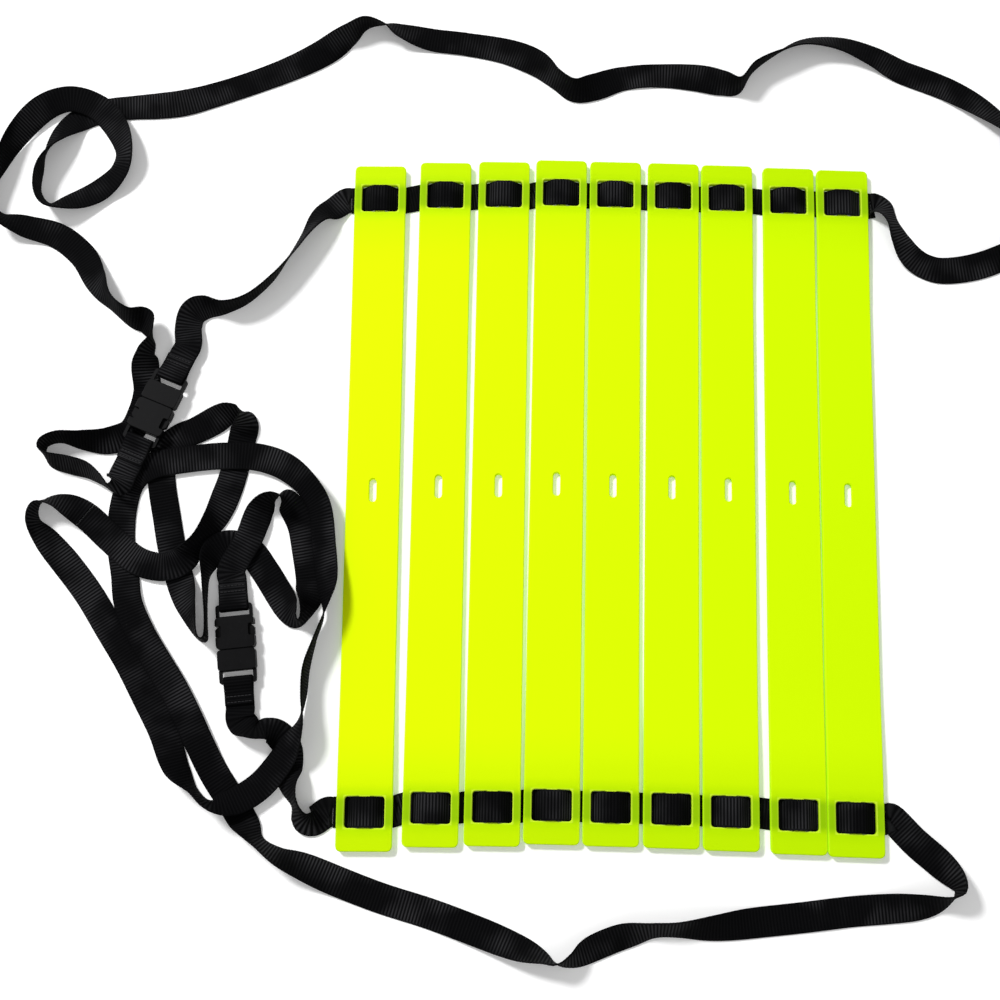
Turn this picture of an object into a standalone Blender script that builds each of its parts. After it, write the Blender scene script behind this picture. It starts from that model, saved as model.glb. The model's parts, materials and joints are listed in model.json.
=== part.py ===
"""Agility ladder bundled for storage: nine flat rungs on two webbing straps.

Every length is in metres. The rungs lie side by side along X, each one long in Y, and the
underside of their middles is at height 0. Each strap is woven through a window near one end
of every rung, and its two free ends run to the halves of a side release buckle.
"""

import math

import bmesh
import bpy
import numpy as np
from mathutils import Matrix, Vector

PART_NAME = "agility_ladder"

# Rungs
RUNG_LENGTH = 0.500
RUNG_WIDTH = 0.038
RUNG_THICKNESS = 0.004
RUNG_CORNER = 0.0035
RUNG_EDGE = 0.0005
END_LIFT = 0.0016
BEND_STARTS = 0.130
BEND_ENDS = 0.206
BEND_STEPS = 6
CORNER_STEPS = 3
WINDOW_FROM_END = 0.026
WINDOW_HALF_WIDTH = 0.0136
WINDOW_HALF_HEIGHT = 0.0105
WINDOW_CORNER = 0.0022
BAR_HALF_WIDTH = 0.0035
BAR_CORNER = 0.0008
PEG_SLOT_WIDTH = 0.0050
PEG_SLOT_LENGTH = 0.0170
CUT_OVERRUN = 0.010

# How the rungs lie from left to right: spaces between them, then centre along Y and turn in degrees
BUNDLE_MIDDLE = 0.00094
RUNG_SPACES = [0.00862, 0.00470, 0.00340, 0.00220, 0.00400, 0.00210, 0.00760, 0.00130]
RUNG_LAYS = [
    (-0.003665, 1.07),
    (0.0002, 0.56),
    (0.0018, 0.30),
    (0.0039, -0.04),
    (0.0035, -0.11),
    (0.0032, -0.40),
    (0.0024, -0.37),
    (0.0012, -0.42),
    (0.0002, -0.61),
]

# Webbing
STRAP_WIDTH = 0.020
STRAP_THICKNESS = 0.0013
STRAP_OVERHANG = 0.0025
ROUTE_STEP = 0.008
CLEARANCE = 0.0003
SELF_GAP_ARC = 0.032
GAP_SAMPLES = 9

# One crossing of a rung: under the frame, up through a window, over the centre bar and back
OVERHANG_TUCK = 0.0015
FRAME_TUCK = 0.0013
RISE_STARTS = 0.0027
RISE_STEP = 0.00075
SHOULDER_OUT = 0.0031
SHOULDER_DROP = 0.00132
TOP_OUT = 0.0007
BAR_CLEARANCE = 0.00027

# Routes of the free ends: X, Y, height of the lowest edge, roll in degrees (0 lies flat).
# They and the buckles are drawn for a bundle of rungs with this half width.
DRAWN_HALF = 0.18796
FAR_LEFT_ROUTE = [
    (-0.2067, 0.2124, 0.0000, 8), (-0.2162, 0.2047, 0.0000, 34), (-0.2248, 0.1905, 0.0000, 58),
    (-0.2348, 0.1733, 0.0000, 68), (-0.2476, 0.1540, 0.0000, 80), (-0.2649, 0.1372, 0.0000, 86),
    (-0.2819, 0.1299, 0.0000, 98), (-0.2962, 0.1302, 0.0000, 128), (-0.3055, 0.1267, 0.0006, 160),
    (-0.3084, 0.1165, 0.0022, 180),
]
FAR_RIGHT_ROUTE = [
    (0.2035, 0.2180, 0.0000, -35), (0.2085, 0.2085, 0.0000, -48), (0.2138, 0.1965, 0.0000, -32),
    (0.2215, 0.1850, 0.0000, -10), (0.2320, 0.1770, 0.0000, 0), (0.2460, 0.1730, 0.0000, 6),
    (0.2691, 0.1762, 0.0000, 12), (0.2907, 0.1842, 0.0000, 30), (0.3115, 0.1972, 0.0000, 65),
    (0.3230, 0.2211, 0.0000, 88), (0.3219, 0.2500, 0.0000, 85), (0.3076, 0.2749, 0.0000, 55),
    (0.2858, 0.3007, 0.0000, 20), (0.2582, 0.3202, 0.0000, 2), (0.2231, 0.3349, 0.0000, 0),
    (0.1993, 0.3473, 0.0000, 15), (0.1745, 0.3554, 0.0000, 32), (0.1480, 0.3552, 0.0000, 50),
    (0.1254, 0.3444, 0.0000, 72), (0.1076, 0.3321, 0.0000, 88), (0.0968, 0.3168, 0.0000, 100),
    (0.0834, 0.3191, 0.0000, 128), (0.0636, 0.3253, 0.0000, 160), (0.0372, 0.3283, 0.0000, 180),
    (0.0082, 0.3250, 0.0000, 178), (-0.0127, 0.3152, 0.0000, 150), (-0.0287, 0.3105, 0.0000, 122),
    (-0.0425, 0.3191, 0.0000, 112), (-0.0564, 0.3327, 0.0000, 138), (-0.0795, 0.3450, 0.0000, 168),
    (-0.1089, 0.3516, 0.0000, 180), (-0.1383, 0.3549, 0.0000, 184), (-0.1613, 0.3594, 0.0000, 212),
    (-0.1742, 0.3631, 0.0000, 242), (-0.1887, 0.3631, 0.0000, 268), (-0.2014, 0.3531, 0.0000, 298),
    (-0.2197, 0.3408, 0.0000, 335), (-0.2462, 0.3276, 0.0000, 354), (-0.2763, 0.3149, 0.0000, 360),
    (-0.3045, 0.3038, 0.0000, 356), (-0.3250, 0.2964, 0.0000, 345), (-0.3432, 0.2938, 0.0000, 348),
    (-0.3650, 0.2928, 0.0000, 360), (-0.3876, 0.2889, 0.0000, 360), (-0.4057, 0.2798, 0.0000, 364),
    (-0.4189, 0.2616, 0.0000, 402), (-0.4266, 0.2403, 0.0000, 444), (-0.4276, 0.2208, 0.0000, 452),
    (-0.4184, 0.2084, 0.0000, 474), (-0.4008, 0.2133, 0.0000, 514), (-0.3829, 0.2238, 0.0000, 530),
    (-0.3691, 0.2382, 0.0000, 512), (-0.3660, 0.2554, 0.0016, 500), (-0.3750, 0.2753, 0.0026, 522),
    (-0.3906, 0.2911, 0.0026, 534), (-0.4108, 0.2970, 0.0026, 530), (-0.4296, 0.2876, 0.0024, 512),
    (-0.4465, 0.2647, 0.0006, 482), (-0.4573, 0.2396, 0.0000, 456), (-0.4638, 0.2168, 0.0000, 446),
    (-0.4548, 0.1989, 0.0000, 478), (-0.4359, 0.1930, 0.0000, 522), (-0.4116, 0.1868, 0.0000, 540),
    (-0.3912, 0.1710, 0.0000, 544), (-0.3787, 0.1507, 0.0000, 568), (-0.3657, 0.1328, 0.0000, 610),
    (-0.3516, 0.1216, 0.0000, 606), (-0.3388, 0.1189, 0.0000, 580), (-0.3310, 0.1049, 0.0000, 624),
    (-0.3328, 0.0928, 0.0000, 654), (-0.3338, 0.0817, 0.0000, 702), (-0.3340, 0.0675, 0.0000, 720),
    (-0.3379, 0.0523, 0.0000, 720), (-0.3446, 0.0368, 0.0000, 718), (-0.3586, 0.0280, 0.0000, 688),
    (-0.3767, 0.0272, 0.0000, 660), (-0.3931, 0.0289, 0.0000, 640), (-0.4034, 0.0249, 0.0000, 632),
    (-0.4041, 0.0180, 0.0000, 630), (-0.3971, 0.0118, 0.0000, 610), (-0.3840, 0.0085, 0.0004, 602),
    (-0.3700, 0.0045, 0.0022, 606), (-0.3590, -0.0025, 0.0036, 618), (-0.3520, -0.0088, 0.0044, 626),
    (-0.3478, -0.0075, 0.0048, 606), (-0.3468, -0.0020, 0.0050, 572),
]
NEAR_RIGHT_ROUTE = [
    (0.2073, -0.2385, 0.0000, 5), (0.2214, -0.2512, 0.0000, 22), (0.2315, -0.2625, 0.0000, 58),
    (0.2333, -0.2708, 0.0000, 88), (0.2253, -0.2767, 0.0000, 112), (0.2095, -0.2804, 0.0000, 145),
    (0.1886, -0.2823, 0.0000, 170), (0.1624, -0.2849, 0.0000, 180), (0.1290, -0.2896, 0.0000, 180),
    (0.0989, -0.2934, 0.0000, 175), (0.0716, -0.2971, 0.0000, 148), (0.0482, -0.2987, 0.0000, 122),
    (0.0297, -0.2998, 0.0000, 122), (0.0102, -0.3042, 0.0000, 150), (-0.0095, -0.3123, 0.0000, 150),
    (-0.0234, -0.3199, 0.0000, 118), (-0.0333, -0.3220, 0.0000, 92), (-0.0432, -0.3179, 0.0000, 66),
    (-0.0603, -0.3122, 0.0000, 32), (-0.0851, -0.3035, 0.0000, 8), (-0.1174, -0.2928, 0.0000, 0),
    (-0.1512, -0.2833, 0.0000, 0), (-0.1810, -0.2730, 0.0000, 5), (-0.2025, -0.2644, 0.0000, 28),
    (-0.2204, -0.2576, 0.0000, 58), (-0.2349, -0.2476, 0.0000, 70), (-0.2454, -0.2347, 0.0000, 24),
    (-0.2551, -0.2216, 0.0000, 0), (-0.2679, -0.2038, 0.0000, 0), (-0.2784, -0.1853, 0.0019, 0),
    (-0.2887, -0.1659, 0.0021, 0), (-0.2998, -0.1470, 0.0021, 0), (-0.3130, -0.1279, 0.0021, 0),
    (-0.3257, -0.1087, 0.0021, 0), (-0.3358, -0.0884, 0.0019, 0), (-0.3401, -0.0676, 0.0003, 0),
    (-0.3450, -0.0432, 0.0000, 0), (-0.3451, -0.0177, 0.0000, 0), (-0.3399, 0.0005, 0.0009, 0),
    (-0.3267, 0.0107, 0.0026, 0), (-0.3049, 0.0157, 0.0025, 0), (-0.2771, 0.0192, 0.0026, 0),
    (-0.2526, 0.0189, 0.0026, 4), (-0.2318, 0.0120, 0.0031, 16), (-0.2150, -0.0015, 0.0030, 32),
    (-0.2042, -0.0187, 0.0030, 32), (-0.2001, -0.0451, 0.0028, 28), (-0.1962, -0.0717, 0.0040, 40),
    (-0.1970, -0.0932, 0.0030, 80), (-0.2030, -0.1125, 0.0006, 88), (-0.2077, -0.1319, 0.0000, 96),
    (-0.2085, -0.1526, 0.0012, 92), (-0.2103, -0.1716, 0.0032, 66), (-0.2198, -0.1916, 0.0036, 20),
    (-0.2334, -0.2099, 0.0030, 8), (-0.2481, -0.2209, 0.0028, 12), (-0.2598, -0.2253, 0.0030, 44),
    (-0.2696, -0.2242, 0.0022, 76), (-0.2801, -0.2158, 0.0000, 80), (-0.2927, -0.2014, 0.0000, 40),
    (-0.3038, -0.1777, 0.0000, 8), (-0.3177, -0.1540, 0.0000, 0), (-0.3322, -0.1295, 0.0000, 0),
    (-0.3473, -0.1074, 0.0000, 0), (-0.3634, -0.0838, 0.0000, 0), (-0.3797, -0.0637, 0.0000, 8),
    (-0.3949, -0.0463, 0.0000, 35), (-0.4057, -0.0321, 0.0000, 74), (-0.4041, -0.0198, 0.0000, 98),
    (-0.3900, -0.0176, 0.0000, 130), (-0.3713, -0.0263, 0.0016, 172), (-0.3523, -0.0424, 0.0022, 180),
    (-0.3325, -0.0579, 0.0022, 184), (-0.3136, -0.0627, 0.0027, 186), (-0.2992, -0.0579, 0.0028, 202),
    (-0.2892, -0.0456, 0.0006, 250), (-0.2775, -0.0265, 0.0000, 222), (-0.2707, -0.0040, 0.0000, 190),
    (-0.2666, 0.0157, 0.0000, 180), (-0.2640, 0.0321, 0.0000, 182), (-0.2616, 0.0426, 0.0000, 214),
    (-0.2644, 0.0511, 0.0000, 262), (-0.2731, 0.0505, 0.0000, 300), (-0.2843, 0.0447, 0.0000, 335),
    (-0.2969, 0.0387, 0.0000, 356), (-0.3089, 0.0334, 0.0000, 360), (-0.3176, 0.0250, 0.0000, 360),
    (-0.3203, 0.0130, 0.0000, 360), (-0.3191, -0.0025, 0.0000, 360), (-0.3137, -0.0265, 0.0000, 360),
    (-0.3085, -0.0482, 0.0000, 360), (-0.3010, -0.0710, 0.0000, 362), (-0.2923, -0.0932, 0.0000, 406),
    (-0.2842, -0.1115, 0.0000, 442), (-0.2786, -0.1128, 0.0000, 452), (-0.2792, -0.0989, 0.0000, 456),
    (-0.2808, -0.0821, 0.0000, 452), (-0.2814, -0.0672, 0.0000, 442), (-0.2785, -0.0536, 0.0000, 402),
    (-0.2690, -0.0446, 0.0000, 364), (-0.2539, -0.0484, 0.0000, 360), (-0.2417, -0.0632, 0.0000, 360),
    (-0.2295, -0.0812, 0.0000, 364), (-0.2205, -0.0945, 0.0000, 404), (-0.2135, -0.1003, 0.0000, 446),
    (-0.2094, -0.0890, 0.0000, 422), (-0.2094, -0.0705, 0.0000, 362), (-0.2136, -0.0475, 0.0000, 360),
    (-0.2182, -0.0287, 0.0000, 360), (-0.2254, -0.0166, 0.0000, 382), (-0.2321, -0.0100, 0.0000, 430),
    (-0.2405, -0.0125, 0.0000, 466), (-0.2462, -0.0198, 0.0000, 502), (-0.2502, -0.0296, 0.0024, 532),
    (-0.2545, -0.0418, 0.0029, 540),
]
NEAR_LEFT_ROUTE = [
    (-0.1985, -0.2345, 0.0000, -16), (-0.2062, -0.2325, 0.0000, -50), (-0.2108, -0.2234, 0.0000, -72),
    (-0.2152, -0.2116, 0.0000, -48), (-0.2166, -0.1994, 0.0000, -12), (-0.2183, -0.1872, 0.0000, 0),
    (-0.2238, -0.1784, 0.0000, 4), (-0.2324, -0.1743, 0.0000, 34), (-0.2416, -0.1748, 0.0006, 52),
]

# Where the long free ends are split into stretches, as points of their routes
FAR_RIGHT_SPLITS = [43]
NEAR_RIGHT_SPLITS = [27, 72]

# Side release buckles, along U from the socket's bar to the plug's bar, with U = 0 at the mouth
BUCKLE_SPAN = 0.0523
SOCKET_BAR_AT = -0.0300
PLUG_BAR_AT = 0.0223
BUCKLE_A_SOCKET_BAR = (-0.3363, 0.0281)
BUCKLE_A_PLUG_BAR = (-0.3170, 0.0766)
BUCKLE_A_HEIGHT = 0.0066
BUCKLE_B_SOCKET_BAR = (-0.2611, -0.0895)
BUCKLE_B_PLUG_BAR = (-0.2545, -0.1415)
BUCKLE_B_HEIGHT = 0.0050
SOCKET_BODY_START = -0.0228
SOCKET_HALF_WIDTH = 0.0135
SOCKET_HALF_THICKNESS = 0.0042
SOCKET_CORNER = 0.0030
SOCKET_EDGE = 0.0008
FRAME_HALF_WIDTH = 0.0128
FRAME_HALF_THICKNESS = 0.0018
FRAME_CORNER = 0.0020
FRAME_EDGE = 0.0004
FRAME_SINK = 0.0020
BAR_HALF = 0.0015
STRAP_SLOT_HALF_WIDTH = 0.0106
STRAP_SLOT_LENGTH = 0.0056
STRAP_SLOT_CORNER = 0.0008
CAVITY_START = -0.0195
CAVITY_HALF_WIDTH = 0.0114
CAVITY_HALF_THICKNESS = 0.0025
CAVITY_CORNER = 0.0015
NOTCH_START = -0.0168
NOTCH_END = -0.0084
NOTCH_INNER = 0.0094
NOTCH_CORNER = 0.0012
MOUTH_GAP = 0.0003
PLUG_BODY_END = 0.0148
PLUG_HALF_WIDTH = 0.0132
PLUG_HALF_THICKNESS = 0.0037
PLUG_CORNER = 0.0022
PLUG_EDGE = 0.0007
GUIDE_TIP = -0.0168
GUIDE_HALF_WIDTH = 0.0017
GUIDE_HALF_THICKNESS = 0.0019
GUIDE_CORNER = 0.0010
GUIDE_SINK = 0.0015
ARM_HALF_THICKNESS = 0.0019
ARM_PIVOT = (0.0003, 0.0082)
ARM_OUTLINE = [
    (0.0000, 0.0066),
    (0.0000, 0.0098),
    (-0.0090, 0.0102),
    (-0.0090, 0.0134),
    (-0.0096, 0.0137),
    (-0.0140, 0.0137),
    (-0.0152, 0.0126),
    (-0.0164, 0.0107),
    (-0.0172, 0.0100),
    (-0.0175, 0.0090),
    (-0.0168, 0.0083),
    (-0.0150, 0.0080),
    (-0.0090, 0.0072),
]

# The sewn end round a buckle's bar: distance out from the bar, height above the bar's middle
END_LOOP = [
    (0.0180, -0.0009),
    (0.0090, -0.0009),
    (0.0050, -0.0017),
    (0.0018, -0.00295),
    (-0.0014, -0.00295),
    (-0.0030, -0.0015),
    (-0.0030, 0.0015),
    (-0.0014, 0.00295),
    (0.0018, 0.00295),
    (0.0050, 0.0017),
    (0.0090, 0.0009),
    (0.0160, 0.0009),
]
END_APPROACH = 0.0090

# Finishes and working sizes
RUNG_ROUGHNESS = 0.42
BUCKLE_ROUGHNESS = 0.38
WEBBING_ROUGHNESS = 0.80
WELD = 0.000001
BEVEL_ANGLE = 50
MITRE_FLOOR = 0.7
GAP_STEP = 0.003
GAP_BLOCK = 300
GAP_REPORT = 0.0006
LEAD_LENGTH = 0.004

# Colours
NEON = (0.80, 1.00, 0.02, 1.0)
WEBBING_BLACK = (0.012, 0.012, 0.014, 1.0)
PLASTIC_BLACK = (0.016, 0.016, 0.018, 1.0)


def clear_scene():
    """Remove everything that the file starts with."""
    for thing in list(bpy.data.objects):
        bpy.data.objects.remove(thing, do_unlink=True)


def material(name, colour, roughness):
    """Make one Principled material."""
    made = bpy.data.materials.new(name)
    made.use_nodes = True
    shader = made.node_tree.nodes["Principled BSDF"]
    shader.inputs["Base Color"].default_value = colour
    shader.inputs["Roughness"].default_value = roughness
    made.diffuse_color = colour
    return made


def rounded_rectangle(low_x, high_x, low_y, high_y, radius):
    """Outline of a rectangle with round corners, counter-clockwise."""
    corners = [
        (high_x - radius, high_y - radius, 0),
        (low_x + radius, high_y - radius, 1),
        (low_x + radius, low_y + radius, 2),
        (high_x - radius, low_y + radius, 3),
    ]
    points = []
    for x, y, quarter in corners:
        for step in range(CORNER_STEPS + 1):
            angle = (quarter + step / CORNER_STEPS) * math.pi / 2
            points.append((x + radius * math.cos(angle), y + radius * math.sin(angle)))
    return points


def prism(outline, low, high):
    """Mesh of an outline in XY, filled and raised from one height to the other."""
    curve = bpy.data.curves.new("outline", "CURVE")
    curve.dimensions = "2D"
    curve.fill_mode = "BOTH"
    curve.extrude = (high - low) / 2
    spline = curve.splines.new("POLY")
    spline.points.add(len(outline) - 1)
    for point, (x, y) in zip(spline.points, outline):
        point.co = (x, y, 0, 1)
    spline.use_cyclic_u = True
    holder = bpy.data.objects.new("outline", curve)
    bpy.context.scene.collection.objects.link(holder)
    bpy.context.view_layer.update()
    graph = bpy.context.evaluated_depsgraph_get()
    mesh = bpy.data.meshes.new_from_object(holder.evaluated_get(graph))
    bpy.data.objects.remove(holder, do_unlink=True)
    mesh.transform(Matrix.Translation((0, 0, (high + low) / 2)))
    weld(mesh)
    return mesh


def weld(mesh):
    """Join the caps of a converted outline to its sides."""
    work = bmesh.new()
    work.from_mesh(mesh)
    bmesh.ops.remove_doubles(work, verts=work.verts, dist=WELD)
    bmesh.ops.recalc_face_normals(work, faces=work.faces)
    work.to_mesh(mesh)
    work.free()


def joined(meshes):
    """One mesh that holds several separate closed ones."""
    work = bmesh.new()
    for mesh in meshes:
        work.from_mesh(mesh)
    made = bpy.data.meshes.new("joined")
    work.to_mesh(made)
    work.free()
    return made


def working_object(name, mesh):
    """Put a mesh in the scene for as long as the modelling needs it."""
    made = bpy.data.objects.new(name, mesh)
    bpy.context.scene.collection.objects.link(made)
    return made


def combined(mesh, steps, edge):
    """Apply Boolean steps in order, then bevel the sharp edges."""
    body = working_object("body", mesh)
    tools = []
    for operation, tool_mesh in steps:
        tool = working_object("tool", tool_mesh)
        tools.append(tool)
        cut = body.modifiers.new("cut", "BOOLEAN")
        cut.operation = operation
        cut.solver = "EXACT"
        cut.object = tool
    merge = body.modifiers.new("merge", "WELD")
    merge.merge_threshold = WELD
    if edge:
        bevel = body.modifiers.new("edges", "BEVEL")
        bevel.width = edge
        bevel.segments = 1
        bevel.limit_method = "ANGLE"
        bevel.angle_limit = math.radians(BEVEL_ANGLE)
    bpy.context.view_layer.update()
    graph = bpy.context.evaluated_depsgraph_get()
    made = bpy.data.meshes.new_from_object(body.evaluated_get(graph))
    bpy.data.objects.remove(body, do_unlink=True)
    for tool in tools:
        bpy.data.objects.remove(tool, do_unlink=True)
    return made


def placed(name, mesh, look, collection, matrix):
    """Add a named piece with its own material."""
    made = bpy.data.objects.new(name, mesh)
    made.data.name = name
    made.data.materials.clear()
    made.data.materials.append(look)
    made.matrix_world = matrix
    collection.objects.link(made)
    return made


def bend_height(distance):
    """How far a rung has risen at a distance from its middle: a smooth step up to its end."""
    share = (abs(distance) - BEND_STARTS) / (BEND_ENDS - BEND_STARTS)
    share = min(max(share, 0.0), 1.0)
    return END_LIFT * share * share * (3 - 2 * share)


def rung_mesh():
    """A flat rung, bent up at both ends, with two windows at each end and a slot in its middle."""
    half = RUNG_LENGTH / 2
    along = [BEND_STARTS + (BEND_ENDS - BEND_STARTS) * n / BEND_STEPS for n in range(BEND_STEPS + 1)]
    along = along + [half + CUT_OVERRUN]
    along = [-v for v in reversed(along)] + along
    under = [(y, bend_height(y)) for y in along]
    over = [(y, bend_height(y) + RUNG_THICKNESS) for y in reversed(along)]
    slab = prism(under + over, -RUNG_WIDTH, RUNG_WIDTH)
    slab.transform(Matrix(((0, 0, 1, 0), (1, 0, 0, 0), (0, 1, 0, 0), (0, 0, 0, 1))))
    plan = rounded_rectangle(-RUNG_WIDTH / 2, RUNG_WIDTH / 2, -half, half, RUNG_CORNER)
    top = RUNG_THICKNESS + END_LIFT + CUT_OVERRUN
    holes = [
        prism(
            rounded_rectangle(
                -PEG_SLOT_WIDTH / 2,
                PEG_SLOT_WIDTH / 2,
                -PEG_SLOT_LENGTH / 2,
                PEG_SLOT_LENGTH / 2,
                PEG_SLOT_WIDTH / 2,
            ),
            -CUT_OVERRUN,
            top,
        )
    ]
    for end in (-1, 1):
        middle = end * (half - WINDOW_FROM_END)
        for side in (-1, 1):
            holes.append(prism(window_outline(middle, side), -CUT_OVERRUN, top))
    steps = [("INTERSECT", prism(plan, -CUT_OVERRUN, top)), ("DIFFERENCE", joined(holes))]
    return combined(slab, steps, RUNG_EDGE)


def window_outline(middle, side):
    """Half of a rung's window, beside its centre bar, with rounder corners on the outside."""
    points = []
    corners = [
        (WINDOW_HALF_WIDTH, WINDOW_HALF_HEIGHT, WINDOW_CORNER, 0),
        (BAR_HALF_WIDTH, WINDOW_HALF_HEIGHT, BAR_CORNER, 1),
        (BAR_HALF_WIDTH, -WINDOW_HALF_HEIGHT, BAR_CORNER, 2),
        (WINDOW_HALF_WIDTH, -WINDOW_HALF_HEIGHT, WINDOW_CORNER, 3),
    ]
    for x, y, radius, quarter in corners:
        inward_x = x - radius if quarter in (0, 3) else x + radius
        inward_y = y - radius if y > 0 else y + radius
        for step in range(CORNER_STEPS + 1):
            angle = (quarter + step / CORNER_STEPS) * math.pi / 2
            points.append(
                (
                    side * (inward_x + radius * math.cos(angle)),
                    middle + inward_y + radius * math.sin(angle),
                )
            )
    return points if side > 0 else list(reversed(points))


def band_mesh(centres, widths, lowest=None):
    """Loft of a flat strap: a rectangle carried along its middle line, mitred at each bend.

    Both end faces hold the width direction that they are given. Nothing of the strap comes
    below the lowest height, where one is given."""
    centres = np.array(centres, dtype=float)
    widths = np.array(widths, dtype=float)
    widths /= np.linalg.norm(widths, axis=1)[:, None]
    runs = np.diff(centres, axis=0)
    runs /= np.linalg.norm(runs, axis=1)[:, None]
    before = np.vstack([runs[:1], runs])
    after = np.vstack([runs, runs[-1:]])
    tangents = before + after
    for end in (0, -1):
        tangents[end] -= widths[end] * float(widths[end] @ tangents[end])
    tangents /= np.linalg.norm(tangents, axis=1)[:, None]
    widths = widths - tangents * (widths * tangents).sum(1)[:, None]
    widths /= np.linalg.norm(widths, axis=1)[:, None]
    normals = np.cross(tangents, widths)
    mitre = 1 / np.clip((before * tangents).sum(1), MITRE_FLOOR, 1)[:, None]
    half_width = widths * STRAP_WIDTH / 2
    half_depth = normals * mitre * STRAP_THICKNESS / 2
    corners = np.stack(
        [
            centres + half_width + half_depth,
            centres - half_width + half_depth,
            centres - half_width - half_depth,
            centres + half_width - half_depth,
        ],
        axis=1,
    )
    if lowest is not None:
        corners[:, :, 2] = np.maximum(corners[:, :, 2], lowest)
    count = len(centres)
    faces = [(3, 2, 1, 0)]
    for n in range(count - 1):
        for side in range(4):
            other = (side + 1) % 4
            faces.append((4 * n + side, 4 * n + other, 4 * n + 4 + other, 4 * n + 4 + side))
    last = 4 * (count - 1)
    faces.append((last, last + 1, last + 2, last + 3))
    mesh = bpy.data.meshes.new("band")
    mesh.from_pydata(corners.reshape(-1, 3).tolist(), [], faces)
    work = bmesh.new()
    work.from_mesh(mesh)
    bmesh.ops.triangulate(work, faces=work.faces)
    bmesh.ops.recalc_face_normals(work, faces=work.faces)
    work.to_mesh(mesh)
    work.free()
    return mesh


def rung_matrix(place):
    """Where a rung lies."""
    x, y, turn = place
    return Matrix.Translation((x, y, 0)) @ Matrix.Rotation(math.radians(turn), 4, "Z")


def rung_places():
    """Centre along X, centre along Y and turn of every rung."""
    steps = [0.0]
    for space in RUNG_SPACES:
        steps.append(steps[-1] + RUNG_WIDTH + space)
    return [
        (BUNDLE_MIDDLE - steps[-1] / 2 + step, y, turn) for step, (y, turn) in zip(steps, RUNG_LAYS)
    ]


def spread(x):
    """An X position beside or over the bundle, moved outward or inward to suit its half width."""
    half = (sum(RUNG_SPACES) + len(RUNG_LAYS) * RUNG_WIDTH) / 2
    if abs(x) < DRAWN_HALF:
        return x * half / DRAWN_HALF
    return x + math.copysign(half - DRAWN_HALF, x)


def crossing():
    """One crossing of a rung: distance from the rung's middle, height of the strap's middle."""
    flat = STRAP_THICKNESS / 2
    over = END_LIFT + RUNG_THICKNESS + BAR_CLEARANCE + STRAP_THICKNESS / 2
    right = [
        (BAR_HALF_WIDTH + TOP_OUT, over),
        (BAR_HALF_WIDTH + SHOULDER_OUT, over - SHOULDER_DROP),
        (WINDOW_HALF_WIDTH - RISE_STARTS, flat + RISE_STEP),
        (WINDOW_HALF_WIDTH - FRAME_TUCK, flat),
        (RUNG_WIDTH / 2 - OVERHANG_TUCK, flat),
    ]
    return [(-x, z) for x, z in reversed(right)] + right


def woven_line(end):
    """Middle line and width directions of a strap through the windows at one end of the rungs."""
    centres = []
    widths = []
    across = end * (RUNG_LENGTH / 2 - WINDOW_FROM_END)
    places = rung_places()
    crossings = [crossing() for _ in places]
    overhang = RUNG_WIDTH / 2 + STRAP_OVERHANG
    crossings[0] = [(-overhang, STRAP_THICKNESS / 2)] + crossings[0]
    crossings[-1] = crossings[-1] + [(overhang, STRAP_THICKNESS / 2)]
    for place, points in zip(places, crossings):
        matrix = rung_matrix(place)
        for x, z in points:
            centres.append(matrix @ Vector((x, across, z)))
            widths.append(matrix.to_3x3() @ Vector((0, 1, 0)))
    return centres, widths


def lift(roll):
    """Height of a strap's middle above its lowest edge at a roll angle."""
    return (abs(math.sin(roll)) * STRAP_WIDTH + abs(math.cos(roll)) * STRAP_THICKNESS) / 2


def route_line(points):
    """Smooth a route of (X, Y, lowest edge, roll) points into a middle line, width directions
    and the arc position of every route point, with sections at ROUTE_STEP."""
    control = np.array([(x, y, low, math.radians(roll)) for x, y, low, roll in points])
    control = np.vstack([2 * control[0] - control[1], control, 2 * control[-1] - control[-2]])
    samples = []
    marks = []
    for n in range(len(control) - 3):
        a, b, c, d = control[n : n + 4]
        marks.append(len(samples))
        count = max(1, math.ceil(float(np.linalg.norm(c[:2] - b[:2])) / ROUTE_STEP))
        for k in range(count):
            t = k / count
            bend = (2 * a - 5 * b + 4 * c - d) * t * t + (3 * b - 3 * c + d - a) * t * t * t
            samples.append((2 * b + (c - a) * t + bend) / 2)
    marks.append(len(samples))
    samples.append(control[-2])
    samples = np.array(samples)
    roll = samples[:, 3]
    height = np.maximum(samples[:, 2], 0) + np.array([lift(v) for v in roll])
    centres = np.column_stack([samples[:, :2], height])
    heading = np.gradient(samples[:, :2], axis=0)
    heading /= np.linalg.norm(heading, axis=1)[:, None]
    sideways = np.column_stack([-heading[:, 1], heading[:, 0], np.zeros(len(heading))])
    upright = np.array([0, 0, 1])
    widths = np.cos(roll)[:, None] * sideways + np.sin(roll)[:, None] * upright
    return centres, widths, marks


def aligned(direction, guide):
    """A direction, turned round if it points away from a guide direction."""
    direction = np.array(direction, dtype=float)
    return direction if float(direction @ np.array(guide)) > 0 else -direction


def trimmed(centres, widths, start, end):
    """A strap's sections with a little taken off its ends, so that neighbours meet with a gap."""
    centres = np.array(centres, dtype=float)
    first = centres[1] - centres[0]
    last = centres[-2] - centres[-1]
    centres[0] = centres[0] + first / np.linalg.norm(first) * start
    centres[-1] = centres[-1] + last / np.linalg.norm(last) * end
    return centres, np.array(widths, dtype=float)


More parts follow.
